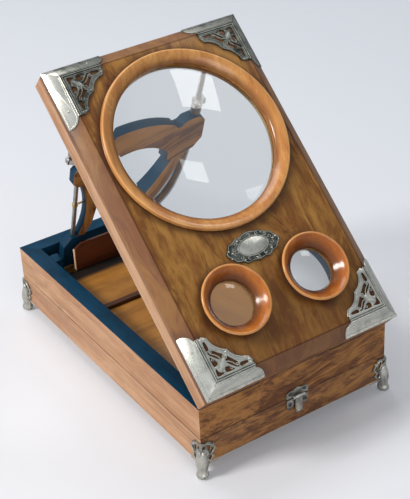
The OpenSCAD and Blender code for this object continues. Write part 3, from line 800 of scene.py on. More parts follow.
class Finish(Graph):
    """Base of all finishes: a Principled surface with local axes in millimetres."""

    def __init__(self, name: str, place: Place, effects: Effects) -> None:
        """Starts the material.

        Args:
            name: Name of the material.
            place: Axes that the pattern follows.
            effects: Shared node groups by name.
        """
        self.effects = effects
        self.material = bpy.data.materials.new(name)
        self.material.use_nodes = True
        super().__init__(self.material.node_tree)
        self.surface = self.add("ShaderNodeBsdfPrincipled")
        self.output = self.add("ShaderNodeOutputMaterial", {"Surface": Signal(self, self.surface.outputs[0])})
        self.local = self.make(
            "ShaderNodeMapping",
            {"Vector": self.make("ShaderNodeTexCoord", output="Object"), "Location": place.origin,
             "Rotation": (place.turn, 0.0, 0.0), "Scale": (MM, MM, MM)}, vector_type="TEXTURE")
        split = self.add("ShaderNodeSeparateXYZ", {0: self.local}).outputs
        self.x, self.y, self.z = (Signal(self, socket) for socket in split)

    def effect(self, name: str, **inputs: object) -> dict[str, Signal]:
        """Places one of the shared node groups with its own values.

        Args:
            name: Name of the group.
            inputs: Signals or values for its inputs.

        Returns:
            Its outputs by name.
        """
        node = self.add("ShaderNodeGroup", inputs, node_tree=self.effects[name])
        return {socket.name: Signal(self, socket) for socket in node.outputs}

    def show(self, **inputs: object) -> None:
        """Sets or links inputs of the surface, with underscores for spaces."""
        self.feed(self.surface, {key.replace("_", " "): value for key, value in inputs.items()})

    def relief(self, height: Signal, depth: float) -> None:
        """Feeds a height, in millimetres at full value, to the surface's normal."""
        bump = {"Height": height, "Strength": 1.0, "Distance": depth * MM}
        self.show(Normal=self.make("ShaderNodeBump", bump))

    def from_axis(self, x: float = 0.0, y: float = 0.0) -> Signal:
        """Distance from an upright axis."""
        flat = self.make("ShaderNodeCombineXYZ", {0: self.x, 1: self.y})
        return self.vector("DISTANCE", flat, (x, y, 0.0), output=1)

    def lid_edges(self) -> tuple[Signal, Signal]:
        """Distances from the lid's nearer long edge and its nearer short edge."""
        ends = self.math("MINIMUM", self.y, SIZES.lid_l - self.y)
        return SIZES.case_w / 2 - abs(self.x), ends


@dataclass(frozen=True)
class Timber:
    """Colours and figure of one kind of wood."""

    light: Colour
    dark: Colour
    vein: Colour
    figure: float
    veins: float
    pores: float
    stripe: float
    rough: float
    coat: float


# WALNUT and FRONT_WALNUT are one walnut, partly as painted light: WALNUT, on the long sides and side rails,
# has the lighter colour of a lit side, and FRONT_WALNUT, on the ends, front and rear rails and strut, the
# darker colour of a side in shade; the stronger figure of FRONT_WALNUT is the wood's own.
WALNUT = Timber(tone(214, 170, 132), tone(180, 130, 94), tone(120, 76, 54), 0.2, 0.35, 0.3, 0.5, 0.45, 0.06)
FRONT_WALNUT = Timber(tone(184, 128, 70), tone(112, 70, 44), tone(70, 38, 30), 0.6, 0.6, 0.3, 0.9, 0.42, 0.08)
BOARD_WALNUT = Timber(tone(176, 128, 64), tone(126, 80, 38), tone(70, 32, 18), 0.55, 0.6, 0.2, 0.45,
                      0.36, 0.12)
LINING = Timber(tone(176, 120, 50), tone(142, 92, 38), tone(92, 50, 20), 0.3, 0.4, 0.4, 0.5, 0.5, 0.0)
REST = Timber(tone(100, 46, 22), tone(68, 28, 14), tone(40, 18, 10), 0.3, 0.4, 0.4, 0.5, 0.42, 0.1)
TURNED = Timber(tone(228, 164, 90), tone(192, 122, 58), tone(126, 72, 34), 0.3, 0.3, 0.2, 0.4, 0.22, 0.45)
FUNNEL = Timber(tone(206, 122, 40), tone(172, 92, 26), tone(112, 56, 14), 0.3, 0.3, 0.2, 0.4, 0.22, 0.3)
BLUE = tone(4, 54, 80)


class Wood(Finish):
    """A waxed or polished wooden surface, painted in part if need be."""

    strut_face: float = -4.4

    def __init__(self, name: str, place: Place, effects: Effects, timber: Timber,
                 grain: Grain, shift: Point3 = (0.0, 0.0, 0.0), skew: float = 0.0,
                 coat: Coat = Coat.BARE) -> None:
        """Builds the wood.

        Args:
            name: Name of the material.
            place: Axes that the pattern follows.
            effects: Shared node groups by name.
            timber: Kind of wood.
            grain: Which way the fibres run.
            shift: Where in the plank the board was cut, in millimetres.
            skew: Angle of the fibres to the board, in degrees.
            coat: Where the piece is painted.
        """
        super().__init__(name, place, effects)
        quarter = math.radians(90)
        turn = {Grain.ACROSS: (0.0, 0.0, quarter + math.radians(skew)),
                Grain.ALONG: (0.0, 0.0, math.radians(skew)), Grain.UP: (quarter, 0.0, 0.0)}[grain]
        plank = self.make("ShaderNodeMapping", {"Vector": self.local, "Location": shift, "Rotation": turn})
        wood = self.effect("wood_grain", Vector=plank, Light=timber.light, Dark=timber.dark, Vein=timber.vein,
                           Figure=timber.figure, Veins=timber.veins, Pores=timber.pores, Stripe=timber.stripe)
        colour = self.shade(wood["Color"])
        rough = wood["Roughness"] + timber.rough
        height = wood["Height"]
        gloss: Signal | float = timber.coat
        specular = 0.3
        if coat is not Coat.BARE:
            specular = 0.15
            paint = self.effect("old_paint", Vector=plank, Colour=BLUE, Wood=colour, Cover=self.cover(coat))
            mask, colour = paint["Mask"], paint["Color"]
            rough = self.blend(mask, rough, 0.5)
            height = self.blend(mask, height, paint["Height"])
            gloss = self.blend(mask, timber.coat, 0.0)
        self.show(Base_Color=colour, Roughness=rough, Coat_Weight=gloss, Coat_Roughness=0.14,
                  Specular_IOR_Level=specular)
        self.relief(height, 0.05)

    def shade(self, colour: Signal) -> Signal:
        """Lets a kind of wood change its colour by place; plain wood keeps it."""
        return colour

    def cover(self, coat: Coat) -> Signal | float:
        """Mask of the painted area, 0 to 1 over the last half millimetre of its edge.

        Args:
            coat: Where the piece is painted.

        Returns:
            The mask.
        """
        soft = 0.5
        if coat is Coat.ALL:
            return 1.0
        if coat is Coat.STRUT:
            return self.y.ramp(self.strut_face, self.strut_face + soft)
        back = SIZES.lid_l - SIZES.rear_rail_w if coat is Coat.LID_RAIL else SIZES.case_d - SIZES.wall_t
        lengthways = self.math("MINIMUM", self.y - (SIZES.wall_t - soft), back + soft - self.y)
        inside = self.math("MINIMUM", SIZES.inner_x + soft - abs(self.x), lengthways).ramp(0.0, soft)
        if coat is Coat.CASE_WALL:
            return self.math("MAXIMUM", inside, self.z.ramp(-1.0, -0.5))
        inside = inside * self.z.ramp(SIZES.recess_n + 0.6, SIZES.recess_n + 0.2)
        return self.math("MAXIMUM", inside, self.z.ramp(1.0, 0.5))


class CaseWalnut(Wood):
    """Wood of the case's walls, with a dark line where the two halves meet."""

    def shade(self, colour: Signal) -> Signal:
        """Adds the line of the seam."""
        line = abs(self.z + SIZES.seam_drop).ramp(0.9, 0.3, 0.0, 0.6)
        return self.mix(line, colour, tone(52, 30, 20))


class Zoned(Wood):
    """Wood that turns to other colours beyond given places along its second or first axis, used for painted
    light and shade.
    """

    def __init__(self, name: str, place: Place, effects: Effects, timber: Timber,
                 shift: Point3, zones: Sequence[tuple[int, float, float, float, Colour]],
                 above: float = -1000.0) -> None:
        """Builds the wood.

        Args:
            name: Name of the material.
            place: Axes that the pattern follows.
            effects: Shared node groups by name.
            timber: Kind of wood.
            shift: Where in the plank the board was cut, in millimetres.
            zones: Axis, place where a zone begins, place where it is full, its strength and its colour.
            above: Height under which the wood keeps its own colour.
        """
        self.zones = zones
        self.above = above
        super().__init__(name, place, effects, timber, Grain.ACROSS, shift)

    def shade(self, colour: Signal) -> Signal:
        """Adds the zones.

        Args:
            colour: Colour of the wood.

        Returns:
            The changed colour.
        """
        upper = self.z.ramp(self.above - 0.4, self.above)
        for axis, start, full, strength, tint in self.zones:
            zone = (self.x, self.y)[axis].ramp(start, full, 0.0, strength)
            colour = self.mix(zone * upper, colour, tint)
        return colour


class BevelledBoard(Wood):
    """The lens board: figured face, dark old polish and painted shade about the rings, painted shade in the
    mounts' piercings, and a greyish painted sheen on the bevel.
    """

    cracks = ((-40.6, 136.0, -32.6, 104.0, 0.55), (93.6, 252.0, 92.6, 176.0, 1.5),
              (84.0, 206.0, 88.0, 172.0, 1.0), (32.6, 130.5, 41.0, 108.0, 0.8),
              (-64.0, 60.0, -66.0, 10.0, 0.5))

    def shade(self, colour: Signal) -> Signal:
        """Adds the dark veins of this board, old polish and painted shade about the rings, the darker front
        part, painted shade in the mounts' piercings, and the bevel with its painted sheen.

        Args:
            colour: Colour of the wood.

        Returns:
            The changed colour.
        """
        wobble = self.noise(self.local, (12.0, 12.0, 12.0), 3.0)
        for x0, v0, x1, v1, width in self.cracks:
            share = self.make("ShaderNodeMapRange", {0: self.y, 1: v0, 2: v1, 3: 0.0, 4: 1.0})
            middle = share * (x1 - x0) + x0 + (wobble - 0.5) * 9.0
            dark = abs(self.x - middle).ramp(width, 0.0, 0.0, 0.8)
            dark = dark * (share.ramp(0.0, 0.12) * share.ramp(1.0, 0.85))
            colour = self.mix(dark, colour, tone(62, 26, 16))
        # Dark halos about the rings: partly old polish, partly painted shade that the rings cast and that
        # gathers under them.
        rings = [(0.0, SIZES.big_v, SIZES.big_ring_r - 1)]
        rings += [(x, SIZES.eye_v, SIZES.eye_ring_r - 3.5) for x in (-SIZES.eye_x, SIZES.eye_x)]
        for x, v, radius in rings:
            reach = self.from_axis(x, v) + wobble * -8.0
            colour = self.mix(reach.ramp(radius + 6.0, radius - 4.0, 0.0, 0.75), colour, tone(58, 32, 22))
        side, ends = self.lid_edges()
        # The board is made darker towards its front edge.
        darker_front = self.y + wobble * 60.0
        colour = self.mix(darker_front.ramp(150.0, 40.0, 0.0, 0.45), colour, tone(92, 54, 32))
        # Painted shade, with some dirt, on the board in the corners, where it shows through the piercings of
        # the mounts.
        colour = self.mix((side + ends).ramp(74.0, 64.0, 0.0, 0.7), colour, tone(64, 38, 26))
        reach = self.math("MINIMUM", side, ends)
        # The bevel is mixed half towards a greyer tone: a painted sheen.
        bevel = reach.ramp(SIZES.bevel_w + 0.3, SIZES.bevel_w - 0.3)
        colour = self.mix(bevel, colour, self.mix(0.5, colour, tone(138, 98, 78)))
        return self.mix(reach.peak(SIZES.bevel_w + 0.5, 1.3, 0.7), colour, tone(66, 32, 22))


class TurnedWood(Wood):
    """Polished wood of a turned ring, with painted shade inside it and low on its outside, and a painted
    highlight on its crest.
    """

    high_n: float = SIZES.lid_t + 4.0
    waist_n: float = SIZES.lid_t + 0.4
    crest_n: float = SIZES.lid_t + 5.8
    lip: float = SIZES.big_ring_r
    dirt_and_shade: float = 0.6

    def shade(self, colour: Signal) -> Signal:
        """Paints shade into the wood low inside and outside, and a highlight on its crest.

        Args:
            colour: Colour of the wood.

        Returns:
            The changed colour.
        """
        radius = self.from_axis()
        inside = radius.ramp(self.lip - 0.8, self.lip - 3.2)
        outside = radius.ramp(self.lip - 6.5, self.lip - 5.0)
        # Painted shade, deepening down the inside of the ring towards the board.
        low = self.z.ramp(self.high_n, SIZES.lid_t + 0.3, 0.0, self.dirt_and_shade) * inside
        colour = self.mix(low, colour, tone(88, 42, 10))
        # Painted shade low on the outside, under the overhanging lip and at the foot.
        waist = self.z.ramp(self.waist_n + 1.6, self.waist_n, 0.0, 0.9) * outside
        colour = self.mix(waist, colour, tone(40, 20, 12))
        # A painted highlight along the crest.
        crest = self.z.ramp(self.crest_n - 2.4, self.crest_n - 0.8, 0.0, 0.45)
        crest = crest * radius.ramp(self.lip - 3.0, self.lip - 1.2)
        return self.mix(crest, colour, tone(250, 192, 122))


class FunnelWood(TurnedWood):
    """The same on an eyepiece, whose deep funnel gets more painted shade."""

    high_n: float = SIZES.lid_t + 9.6
    waist_n: float = SIZES.lid_t + 5.6
    crest_n: float = SIZES.lid_t + 10.4
    lip: float = SIZES.eye_ring_r
    dirt_and_shade: float = 0.85


class Metal(Finish):
    """Cast or drawn metal with tarnish in its low places."""

    def __init__(self, name: str, place: Place, effects: Effects, bright: Colour,
                 tarnish: Colour, rough: float, age: float) -> None:
        """Builds the metal.

        Args:
            name: Name of the material.
            place: Axes that the pattern follows.
            effects: Shared node groups by name.
            bright: Colour of the clean metal.
            tarnish: Colour of the tarnish.
            rough: Roughness of the clean metal.
            age: Share of cloudy tarnish.
        """
        super().__init__(name, place, effects)
        cast = self.effect("cast_metal", Vector=self.local, Bright=bright, Tarnish=tarnish,
                           Low=self.ground(), Age=age)
        self.show(Base_Color=cast["Color"], Roughness=cast["Roughness"] + rough, Metallic=1.0)
        self.relief(cast["Height"], 0.04)

    def ground(self) -> Signal | float:
        """Share of dirt, and on the lid of painted shade, by place; plain metal has none."""
        return 0.0


class LidPewter(Metal):
    """Pewter of the lid's ornaments: dark ground, dirt beside the border lines, and rear mounts darkened with
    painted shade.
    """

    ground_n: float = 34.32
    lines = ((11.35, 0.7, 0.9), (13.2, 0.55, 0.7), (1.9, 0.5, 0.35), (9.6, 0.4, 0.3))

    def ground(self) -> Signal:
        """Dirt by height on the flat, along the lines of the flanges, and about the oval field, and painted
        shade on the rear mounts.

        Returns:
            The share of dirt.
        """
        side, ends = self.lid_edges()
        reach = self.math("MINIMUM", side, ends)
        deep = self.z.ramp(self.ground_n + 0.3, self.ground_n, 0.0, 0.25)
        deep = deep + self.z.ramp(self.ground_n - 0.25, self.ground_n - 0.7, 0.0, 0.5)
        total = deep * reach.ramp(SIZES.bevel_w + 0.2, SIZES.bevel_w + 0.8)
        for middle, width, strength in self.lines:
            total = total + reach.peak(middle, width, strength)
        oval = self.math("COMPARE", self.y, Cartouche.middle_v, 16.0)
        oval = oval * self.math("COMPARE", self.x, 0.0, 30.0)
        total = total + oval * self.z.ramp(self.ground_n + 0.25, self.ground_n + 0.1, 0.22, 0.6)
        # Painted shade: the rear mounts, all but the left flange, are darkened as if they reflected darker
        # surroundings.
        left = SIZES.bevel_w - SIZES.case_w / 2
        total = total + self.y.ramp(230.0, 255.0, 0.0, 0.5) * self.x.ramp(left - 0.5, left)
        mitre = (self.math("MAXIMUM", side, ends) - reach).peak(0.0, 0.45, 0.8)
        mitre = mitre * self.math("LESS_THAN", reach, SIZES.bevel_w)
        return self.math("ADD", total, mitre, clamp=True)


class CasePewter(Metal):
    """Pewter of the case's fittings, with a dark ground on the plates."""

    def ground(self) -> Signal:
        """Dirt on the plates of the brackets, between their scrolls.

        Returns:
            The share of dirt.
        """
        ends = self.math("MAXIMUM", self.y * -1.0, self.y - SIZES.case_d)
        proud = self.math("MAXIMUM", abs(self.x) - SIZES.case_w / 2, ends)
        upright = self.z.ramp(-SIZES.case_h - 0.5, -SIZES.case_h + 1.0)
        return proud.ramp(1.75, 1.5, 0.0, 0.45) * upright


class Glass(Finish):
    """Clear glass that lets lamp light through to what lies behind it."""

    def __init__(self, name: str, place: Place, effects: Effects) -> None:
        """Builds the glass.

        Args:
            name: Name of the material.
            place: Axes that the pattern follows.
            effects: Shared node groups by name.
        """
        super().__init__(name, place, effects)
        faint = self.noise(self.local, (40.0, 40.0, 40.0), 2.0)
        self.show(Base_Color=self.mix(faint, tone(250, 252, 252), tone(246, 250, 249)), Roughness=0.0,
                  IOR=1.5, Transmission_Weight=1.0, Metallic=0.0)
        mixed = self.make("ShaderNodeMixShader", {0: self.make("ShaderNodeLightPath", output="Is Shadow Ray"),
                                                  1: Signal(self, self.surface.outputs[0]),
                                                  2: self.make("ShaderNodeBsdfTransparent")})
        self.feed(self.output, {"Surface": mixed})


class Finishes:
    """All finishes of the object, by name, and the node groups that they share."""

    def __init__(self, axes: Axes) -> None:
        """Builds the shared groups and the metals.

        Args:
            axes: The object's three sets of axes.
        """
        self.effects = {tree.name: tree for tree in (wood_grain(), old_paint(), cast_metal())}
        self.made: dict[str, Material] = {}
        pewter = (tone(206, 204, 194), tone(50, 56, 52), 0.25, 0.35)
        self.make(CasePewter, "pewter_case", axes.case, *pewter)
        self.make(LidPewter, "pewter_lid", axes.lid, *pewter)
        self.make(Metal, "worn_steel", axes.case, tone(176, 174, 172), tone(84, 76, 70), 0.3, 0.5)
        self.make(Metal, "dark_iron", axes.case, tone(82, 82, 84), tone(30, 28, 28), 0.4, 0.6)
        self.make(Metal, "aged_brass", axes.case, tone(206, 172, 108), tone(112, 84, 46), 0.3, 0.5)

    def make(self, kind: type[Finish], name: str, place: Place, *details: object,
             **more: object) -> Material:
        """Makes a finish of one kind and remembers its material by name."""
        self.made[name] = kind(name, place, self.effects, *details, **more).material
        return self.made[name]


def dress(piece: Piece, material: Material) -> None:
    """Gives a piece one material all over.

    Args:
        piece: The piece.
        material: The material.
    """
    piece.data.materials.clear()
    piece.data.materials.append(material)
    for face in piece.data.polygons:
        face.material_index = 0


@dataclass
class Assembly:
    """Base of the sub-assemblies."""

    axes: Axes
    finishes: Finishes
    nodes: dict[str, Piece]
    body: dict[str, str]

    def eased(self, node: str, width: float, material: Material, slot: str) -> None:
        """Builds a piece from a copy of a node, with its sharp edges eased as a maker eases them.

        Args:
            node: Name of the node that the piece stands for.
            width: Width of the eased edge in millimetres.
            material: Finish of the piece.
            slot: The record's slot for that finish.
        """
        piece = bpy.data.objects.new(node + "_eased", self.nodes[node].data.copy())
        bpy.context.scene.collection.objects.link(piece)
        Bench.edit(piece)
        bpy.ops.mesh.remove_doubles(threshold=0.000004)
        bpy.ops.mesh.dissolve_limited(angle_limit=math.radians(0.5))
        bpy.ops.object.mode_set(mode="OBJECT")
        Bench.apply(piece, "BEVEL", width=width * MM, segments=2, limit_method="ANGLE",
                    angle_limit=math.radians(40), use_clamp_overlap=True)
        Bench.smooth(piece)
        self.finish(piece, material, slot, node)

    def finish(self, piece: Piece, material: Material, slot: str, node: str) -> None:
        """Dresses a piece, hides the node that it stands for and puts it on that node's body.

        Args:
            piece: The piece, in the row frame.
            material: Finish of the piece.
            slot: The record's slot for that finish; not used.
            node: Node that it replaces.
        """
        dress(piece, material)
        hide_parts(node)
        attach(piece, self.body[node])
        LOG.info("piece %s, %d faces", piece.name, len(piece.data.polygons))

    def repaint(self, finish: str, *nodes: str) -> None:
        """Gives carried-over nodes a finish that is already made."""
        for node in nodes:
            dress(self.nodes[node], self.finishes.made[finish])

    def case_place(self, corner: Vector) -> Vector:
        """A point of the row frame in the case's axes."""
        return (corner - self.axes.case.origin) / MM

    def cast(self, pattern: Piece, name: str, place: Place, depth: float, finish: str, node: str) -> None:
        """Copies a cast pattern to the four corners of the case or the lid.

        Args:
            pattern: The pattern at the front left corner, which is used up.
            name: First part of the pieces' names.
            place: Axes that it is drawn in.
            depth: Distance from the front corners to the rear ones.
            finish: Name of the finish.
            node: First part of the nodes' names.
        """
        for side, across in (("left", 1), ("right", -1)):
            for end, along in (("front", 1), ("rear", -1)):
                corner = Matrix.Translation((-across * SIZES.case_w / 2, depth * (along < 0), 0.0))
                piece = Bench.copy(pattern, corner @ Matrix.Diagonal((across, along, 1.0, 1.0)))
                Bench.move(piece, place.matrix())
                piece.name = f"{name}_{end}_{side}"
                Bench.smooth(piece, 40.0)
                self.finish(piece, self.finishes.made[finish], "pewter", f"{node}_{end}_{side}")
        bpy.data.objects.remove(pattern)


@dataclass
class Case(Assembly):
    """The two halves of the case, their floors and hinges."""

    ease: float = 0.5
    floor_ease: float = 0.2
    bearing_ease: float = 0.6

    def build(self) -> None:
        """Builds and dresses the case."""
        place = self.axes.case
        walls = {
            "left": (WALNUT, Grain.ALONG, (310.0, 40.0, 9.0), 0.0),
            "right": (WALNUT, Grain.ALONG, (-120.0, 70.0, 30.0), 0.0),
            "front": (FRONT_WALNUT, Grain.ACROSS, (60.0, 20.0, -15.0), -12.0),
            "back": (FRONT_WALNUT, Grain.ACROSS, (-260.0, 90.0, 44.0), 3.0)}
        make = self.finishes.make
        for side, cut in walls.items():
            for half, coat in (("upper", Coat.CASE_WALL), ("lower", Coat.BARE)):
                name = f"{half}_{side}"
                self.eased(name, self.ease, make(CaseWalnut, f"walnut_{name}", place, *cut, coat), "walnut")
        # Painted light: the front of the case floor is made paler and pinker, as if lit through the
        # eyepieces.
        lining = make(Zoned, "lining_floor", place, LINING, (30.0, 0.0, 0.0),
                      [(1, 150.0, 60.0, 0.85, tone(212, 164, 132))],
                      above=self.case_place(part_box("case_floor")[1]).z - 0.5)
        self.eased("case_floor", self.floor_ease, lining, "lining_wood")
        bottom = make(Wood, "lining_bottom", place, LINING, Grain.ALONG, (80.0, 10.0, 5.0))
        self.eased("bottom_board", self.floor_ease, bottom, "lining_wood")
        bearing = make(Wood, "painted_bearings", place, WALNUT, Grain.UP, coat=Coat.ALL)
        self.eased("strut_bearings", self.bearing_ease, bearing, "painted_wood")
        self.repaint("dark_iron", "catch_lower_screws", "catch_upper_screws", "lid_hinge_leaves_case",
                     "lid_hinge_leaves_lid", "lid_hinge_pins")
        self.repaint("worn_steel", "case_hinge_leaves_lower", "case_hinge_leaves_upper", "case_hinge_pins",
                     "strut_pins", "catch_pin", "stay_brackets")
        self.repaint("pewter_case", "foot_pins")


@dataclass(frozen=True)
class Lens:
    """Sizes of a glass: radii of its rim and domed part, heights of its edge, radius of its curve."""

    rim: float
    clear: float
    low: float
    high: float
    sphere: float
    both: bool

    def profile(self) -> list[Point]:
        """Half section, from the middle of the top over the rim to the middle of the underside.

        Returns:
            Radius and height of each point.
        """
        steps = 24
        radii = [max(self.clear * k / steps, 0.05) for k in range(steps + 1)]
        crown = self.sphere - math.sqrt(self.sphere ** 2 - self.clear ** 2)
        domes = [(r, crown - self.sphere + math.sqrt(self.sphere ** 2 - r ** 2)) for r in radii]
        top = [(r, self.high + dome) for r, dome in domes]
        underside = [(r, self.low - dome * self.both) for r, dome in reversed(domes)]
        return top + [(self.rim, self.high), (self.rim, self.low)] + underside


@dataclass
class Lid(Assembly):
    """The lens board on its rails, with the turned rings and the glasses."""

    big_hole_r: float = 83.95
    eye_hole_r: float = 25.55
    eyes: Point = (-SIZES.eye_x, SIZES.eye_x)
    reading: Lens = Lens(79.6, 77.8, SIZES.lid_t - 8.2, SIZES.lid_t - 5, 395.0, True)
    eyepiece: Lens = Lens(22.7, 20.8, SIZES.lid_t - 5.5, SIZES.lid_t - 2, 73.0, False)

    def build(self) -> None:
        """Builds and dresses the lid."""
        place = self.axes.lid
        rails = {"left": (WALNUT, Grain.ALONG, (210.0, 10.0, 9.0)),
                 "right": (WALNUT, Grain.ALONG, (-90.0, 50.0, 3.0)),
                 "front": (FRONT_WALNUT, Grain.ACROSS, (10.0, 60.0, 20.0)),
                 "rear": (FRONT_WALNUT, Grain.ACROSS, (-60.0, 30.0, 50.0))}
        for side, cut in rails.items():
            wood = self.finishes.make(Wood, f"walnut_rail_{side}", place, *cut, coat=Coat.LID_RAIL)
            self.eased(f"lid_{side}_rail", 0.5, wood, "walnut")
        self.board()
        self.rings()
        self.glasses()
        self.repaint("aged_brass", "big_lens_retainer", "eyepiece_retainers")
        self.repaint("pewter_lid", "mount_pins", "cartouche_pins")

    def board(self) -> None:
        """The bevelled board with its three turned openings."""
        base_h = SIZES.side_h - SIZES.recess_n
        Bench.clear()
        bpy.ops.mesh.primitive_cube_add(size=1.0, location=(0, SIZES.lid_l / 2, SIZES.recess_n + base_h / 2),
                                        scale=(SIZES.case_w, SIZES.lid_l, base_h))
        board = Bench.named(Bench.settle(bpy.context.object), "lens_board")
        Bench.edit(board, select=False)
        mesh = bmesh.from_edit_mesh(board.data)
        for face in mesh.faces:
            face.select_set(face.normal.z > 0.5)
        bmesh.update_edit_mesh(board.data)
        bpy.ops.mesh.extrude_region_move(TRANSFORM_OT_translate={"value": (0, 0, SIZES.bevel_h)})
        inset = 2 * SIZES.bevel_w
        bpy.ops.transform.resize(value=(1 - inset / SIZES.case_w, 1 - inset / SIZES.lid_l, 1.0),
                                 center_override=(0, SIZES.lid_l / 2, SIZES.lid_t))
        bpy.ops.object.mode_set(mode="OBJECT")
        Bench.apply(board, "BEVEL", width=0.7, segments=3, limit_method="ANGLE", angle_limit=math.radians(20))
        holes = [(0.0, SIZES.big_v, self.big_hole_r)] + [(x, SIZES.eye_v, self.eye_hole_r) for x in self.eyes]
        for x, v, radius in holes:
            Bench.drill(board, vertices=128, radius=radius, depth=40.0, location=(x, v, SIZES.recess_n + 8))
        Bench.move(board, self.axes.lid.matrix())
        Bench.smooth(board)
        wood = self.finishes.make(BevelledBoard, "figured_walnut_board", self.axes.lid, BOARD_WALNUT,
                                  Grain.ALONG, (40.0, 0.0, 12.0), 4.0, Coat.LID_RAIL)
        self.finish(board, wood, "burr_walnut", "lid_panel")

    def rings(self) -> None:
        """The three rings, turned from profiles of radius and height above the board."""
        big = Bench.lathe("reading_lens_ring", self.big_profile(), 192, ring=True)
        self.place_ring(big, (0.0, SIZES.big_v), TurnedWood, TURNED, "boxwood_reading_ring", "big_ring")
        for side, x in zip(("left", "right"), self.eyes):
            small = Bench.lathe(f"eyepiece_ring_{side}_turned", self.eyepiece_profile(), 128, ring=True)
            self.place_ring(small, (x, SIZES.eye_v), FunnelWood, FUNNEL, f"boxwood_eyepiece_{side}",
                            f"eyepiece_ring_{side}")

    def place_ring(self, ring: Piece, middle: Point, kind: type[TurnedWood], timber: Timber, name: str,
                   node: str) -> None:
        """Moves a ring to its middle on the lid and finishes it.

        Args:
            ring: The ring, about the lid's origin.
            middle: Its middle on the lid.
            kind: Kind of finish.
            timber: Kind of wood.
            name: Name of the finish.
            node: Node that the ring stands for.
        """
        x, v = middle
        Bench.move(ring, self.axes.lid.matrix() @ Matrix.Translation((x, v, 0.0)))
        Bench.smooth(ring, 50.0)
        place = Place(self.axes.lid.point(x, v, 0.0), self.axes.lid.turn)
        wood = self.finishes.make(kind, name, place, timber, Grain.ALONG, (x, 0.0, 7.0), 8.0)
        self.finish(ring, wood, "boxwood", node)

    @staticmethod
    def big_profile() -> list[Point]:
        """Profile of the reading lens's ring: spigot, foot, beaded lip, dished face and rebate.

        Returns:
            Radius and height of each point.
        """
        top = SIZES.lid_t
        lip = SIZES.big_ring_r
        bore = SIZES.big_r
        seat = bore + 1.9
        profile = [(seat, SIZES.recess_n), (seat + 4, SIZES.recess_n), (seat + 4, top), (lip - 0.6, top),
                   (lip - 0.5, top + 0.5), (lip - 0.1, top + 0.9), (lip, top + 2.4), (lip - 0.5, top + 2.8),
                   (lip - 0.4, top + 3.2)]
        profile += arc((lip - 2.0, top + 4.2), 1.6, -20, 105, 8)
        profile += [(lip - 3.6, top + 5.6), (lip - 5.2, top + 5.2), (lip - 7.0, top + 4.4),
                    (lip - 8.8, top + 3.3), (lip - 10.4, top + 2.1), (bore + 1.2, top + 1.0),
                    (bore + 0.3, top + 0.2), (bore, top - 0.6), (bore, top - 5.0), (seat, top - 5.0)]
        return profile

    @staticmethod
    def eyepiece_profile() -> list[Point]:
        """Profile of an eyepiece ring: spigot, foot, waist, flared lip and funnel.

        Returns:
            Radius and height of each point.
        """
        top = SIZES.lid_t
        bore = SIZES.eye_r
        lip = SIZES.eye_ring_r
        profile = [(bore + 2, SIZES.recess_n), (bore + 4.5, SIZES.recess_n), (bore + 4.5, top),
                   (lip - 3.6, top), (lip - 3.4, top + 0.5), (lip - 3.4, top + 1.2), (lip - 3.9, top + 1.5),
                   (lip - 4.4, top + 2.4), (lip - 4.0, top + 3.8), (lip - 2.7, top + 5.8),
                   (lip - 1.0, top + 7.4)]
        profile += arc((lip - 1.5, top + 8.9), 1.5, -30, 125, 9)
        profile += [(lip - 3.6, top + 9.2), (lip - 5.4, top + 7.4), (lip - 7.0, top + 5.4),
                    (lip - 8.6, top + 3.4), (lip - 10.0, top + 1.8), (bore + 0.8, top + 0.6),
                    (bore, top - 0.4), (bore, top - 2.0), (bore + 2, top - 2.0)]
        return profile

    def glasses(self) -> None:
        """The reading lens and the two eyepiece lenses."""
        clear = self.finishes.make(Glass, "clear_glass", self.axes.lid)
        lid = self.axes.lid.matrix()
        big = Bench.lathe("reading_lens", self.reading.profile(), 160, ring=False)
        Bench.move(big, lid @ Matrix.Translation((0.0, SIZES.big_v, 0.0)))
        pair = [Bench.move(Bench.lathe("eye_lens", self.eyepiece.profile(), 96, ring=False),
                           lid @ Matrix.Translation((x, SIZES.eye_v, 0.0))) for x in self.eyes]
        both = Bench.join(pair, "eyepiece_lens_pair")
        for glass, node in ((big, "big_lens"), (both, "eyepiece_lenses")):
            Bench.smooth(glass)
            self.finish(glass, clear, "glass", node)


SWAP = Matrix(((0, 1, 0, 0), (1, 0, 0, 0), (0, 0, 1, 0), (0, 0, 0, 1)))
STAND = Matrix.Rotation(math.pi / 2, 4, "X")


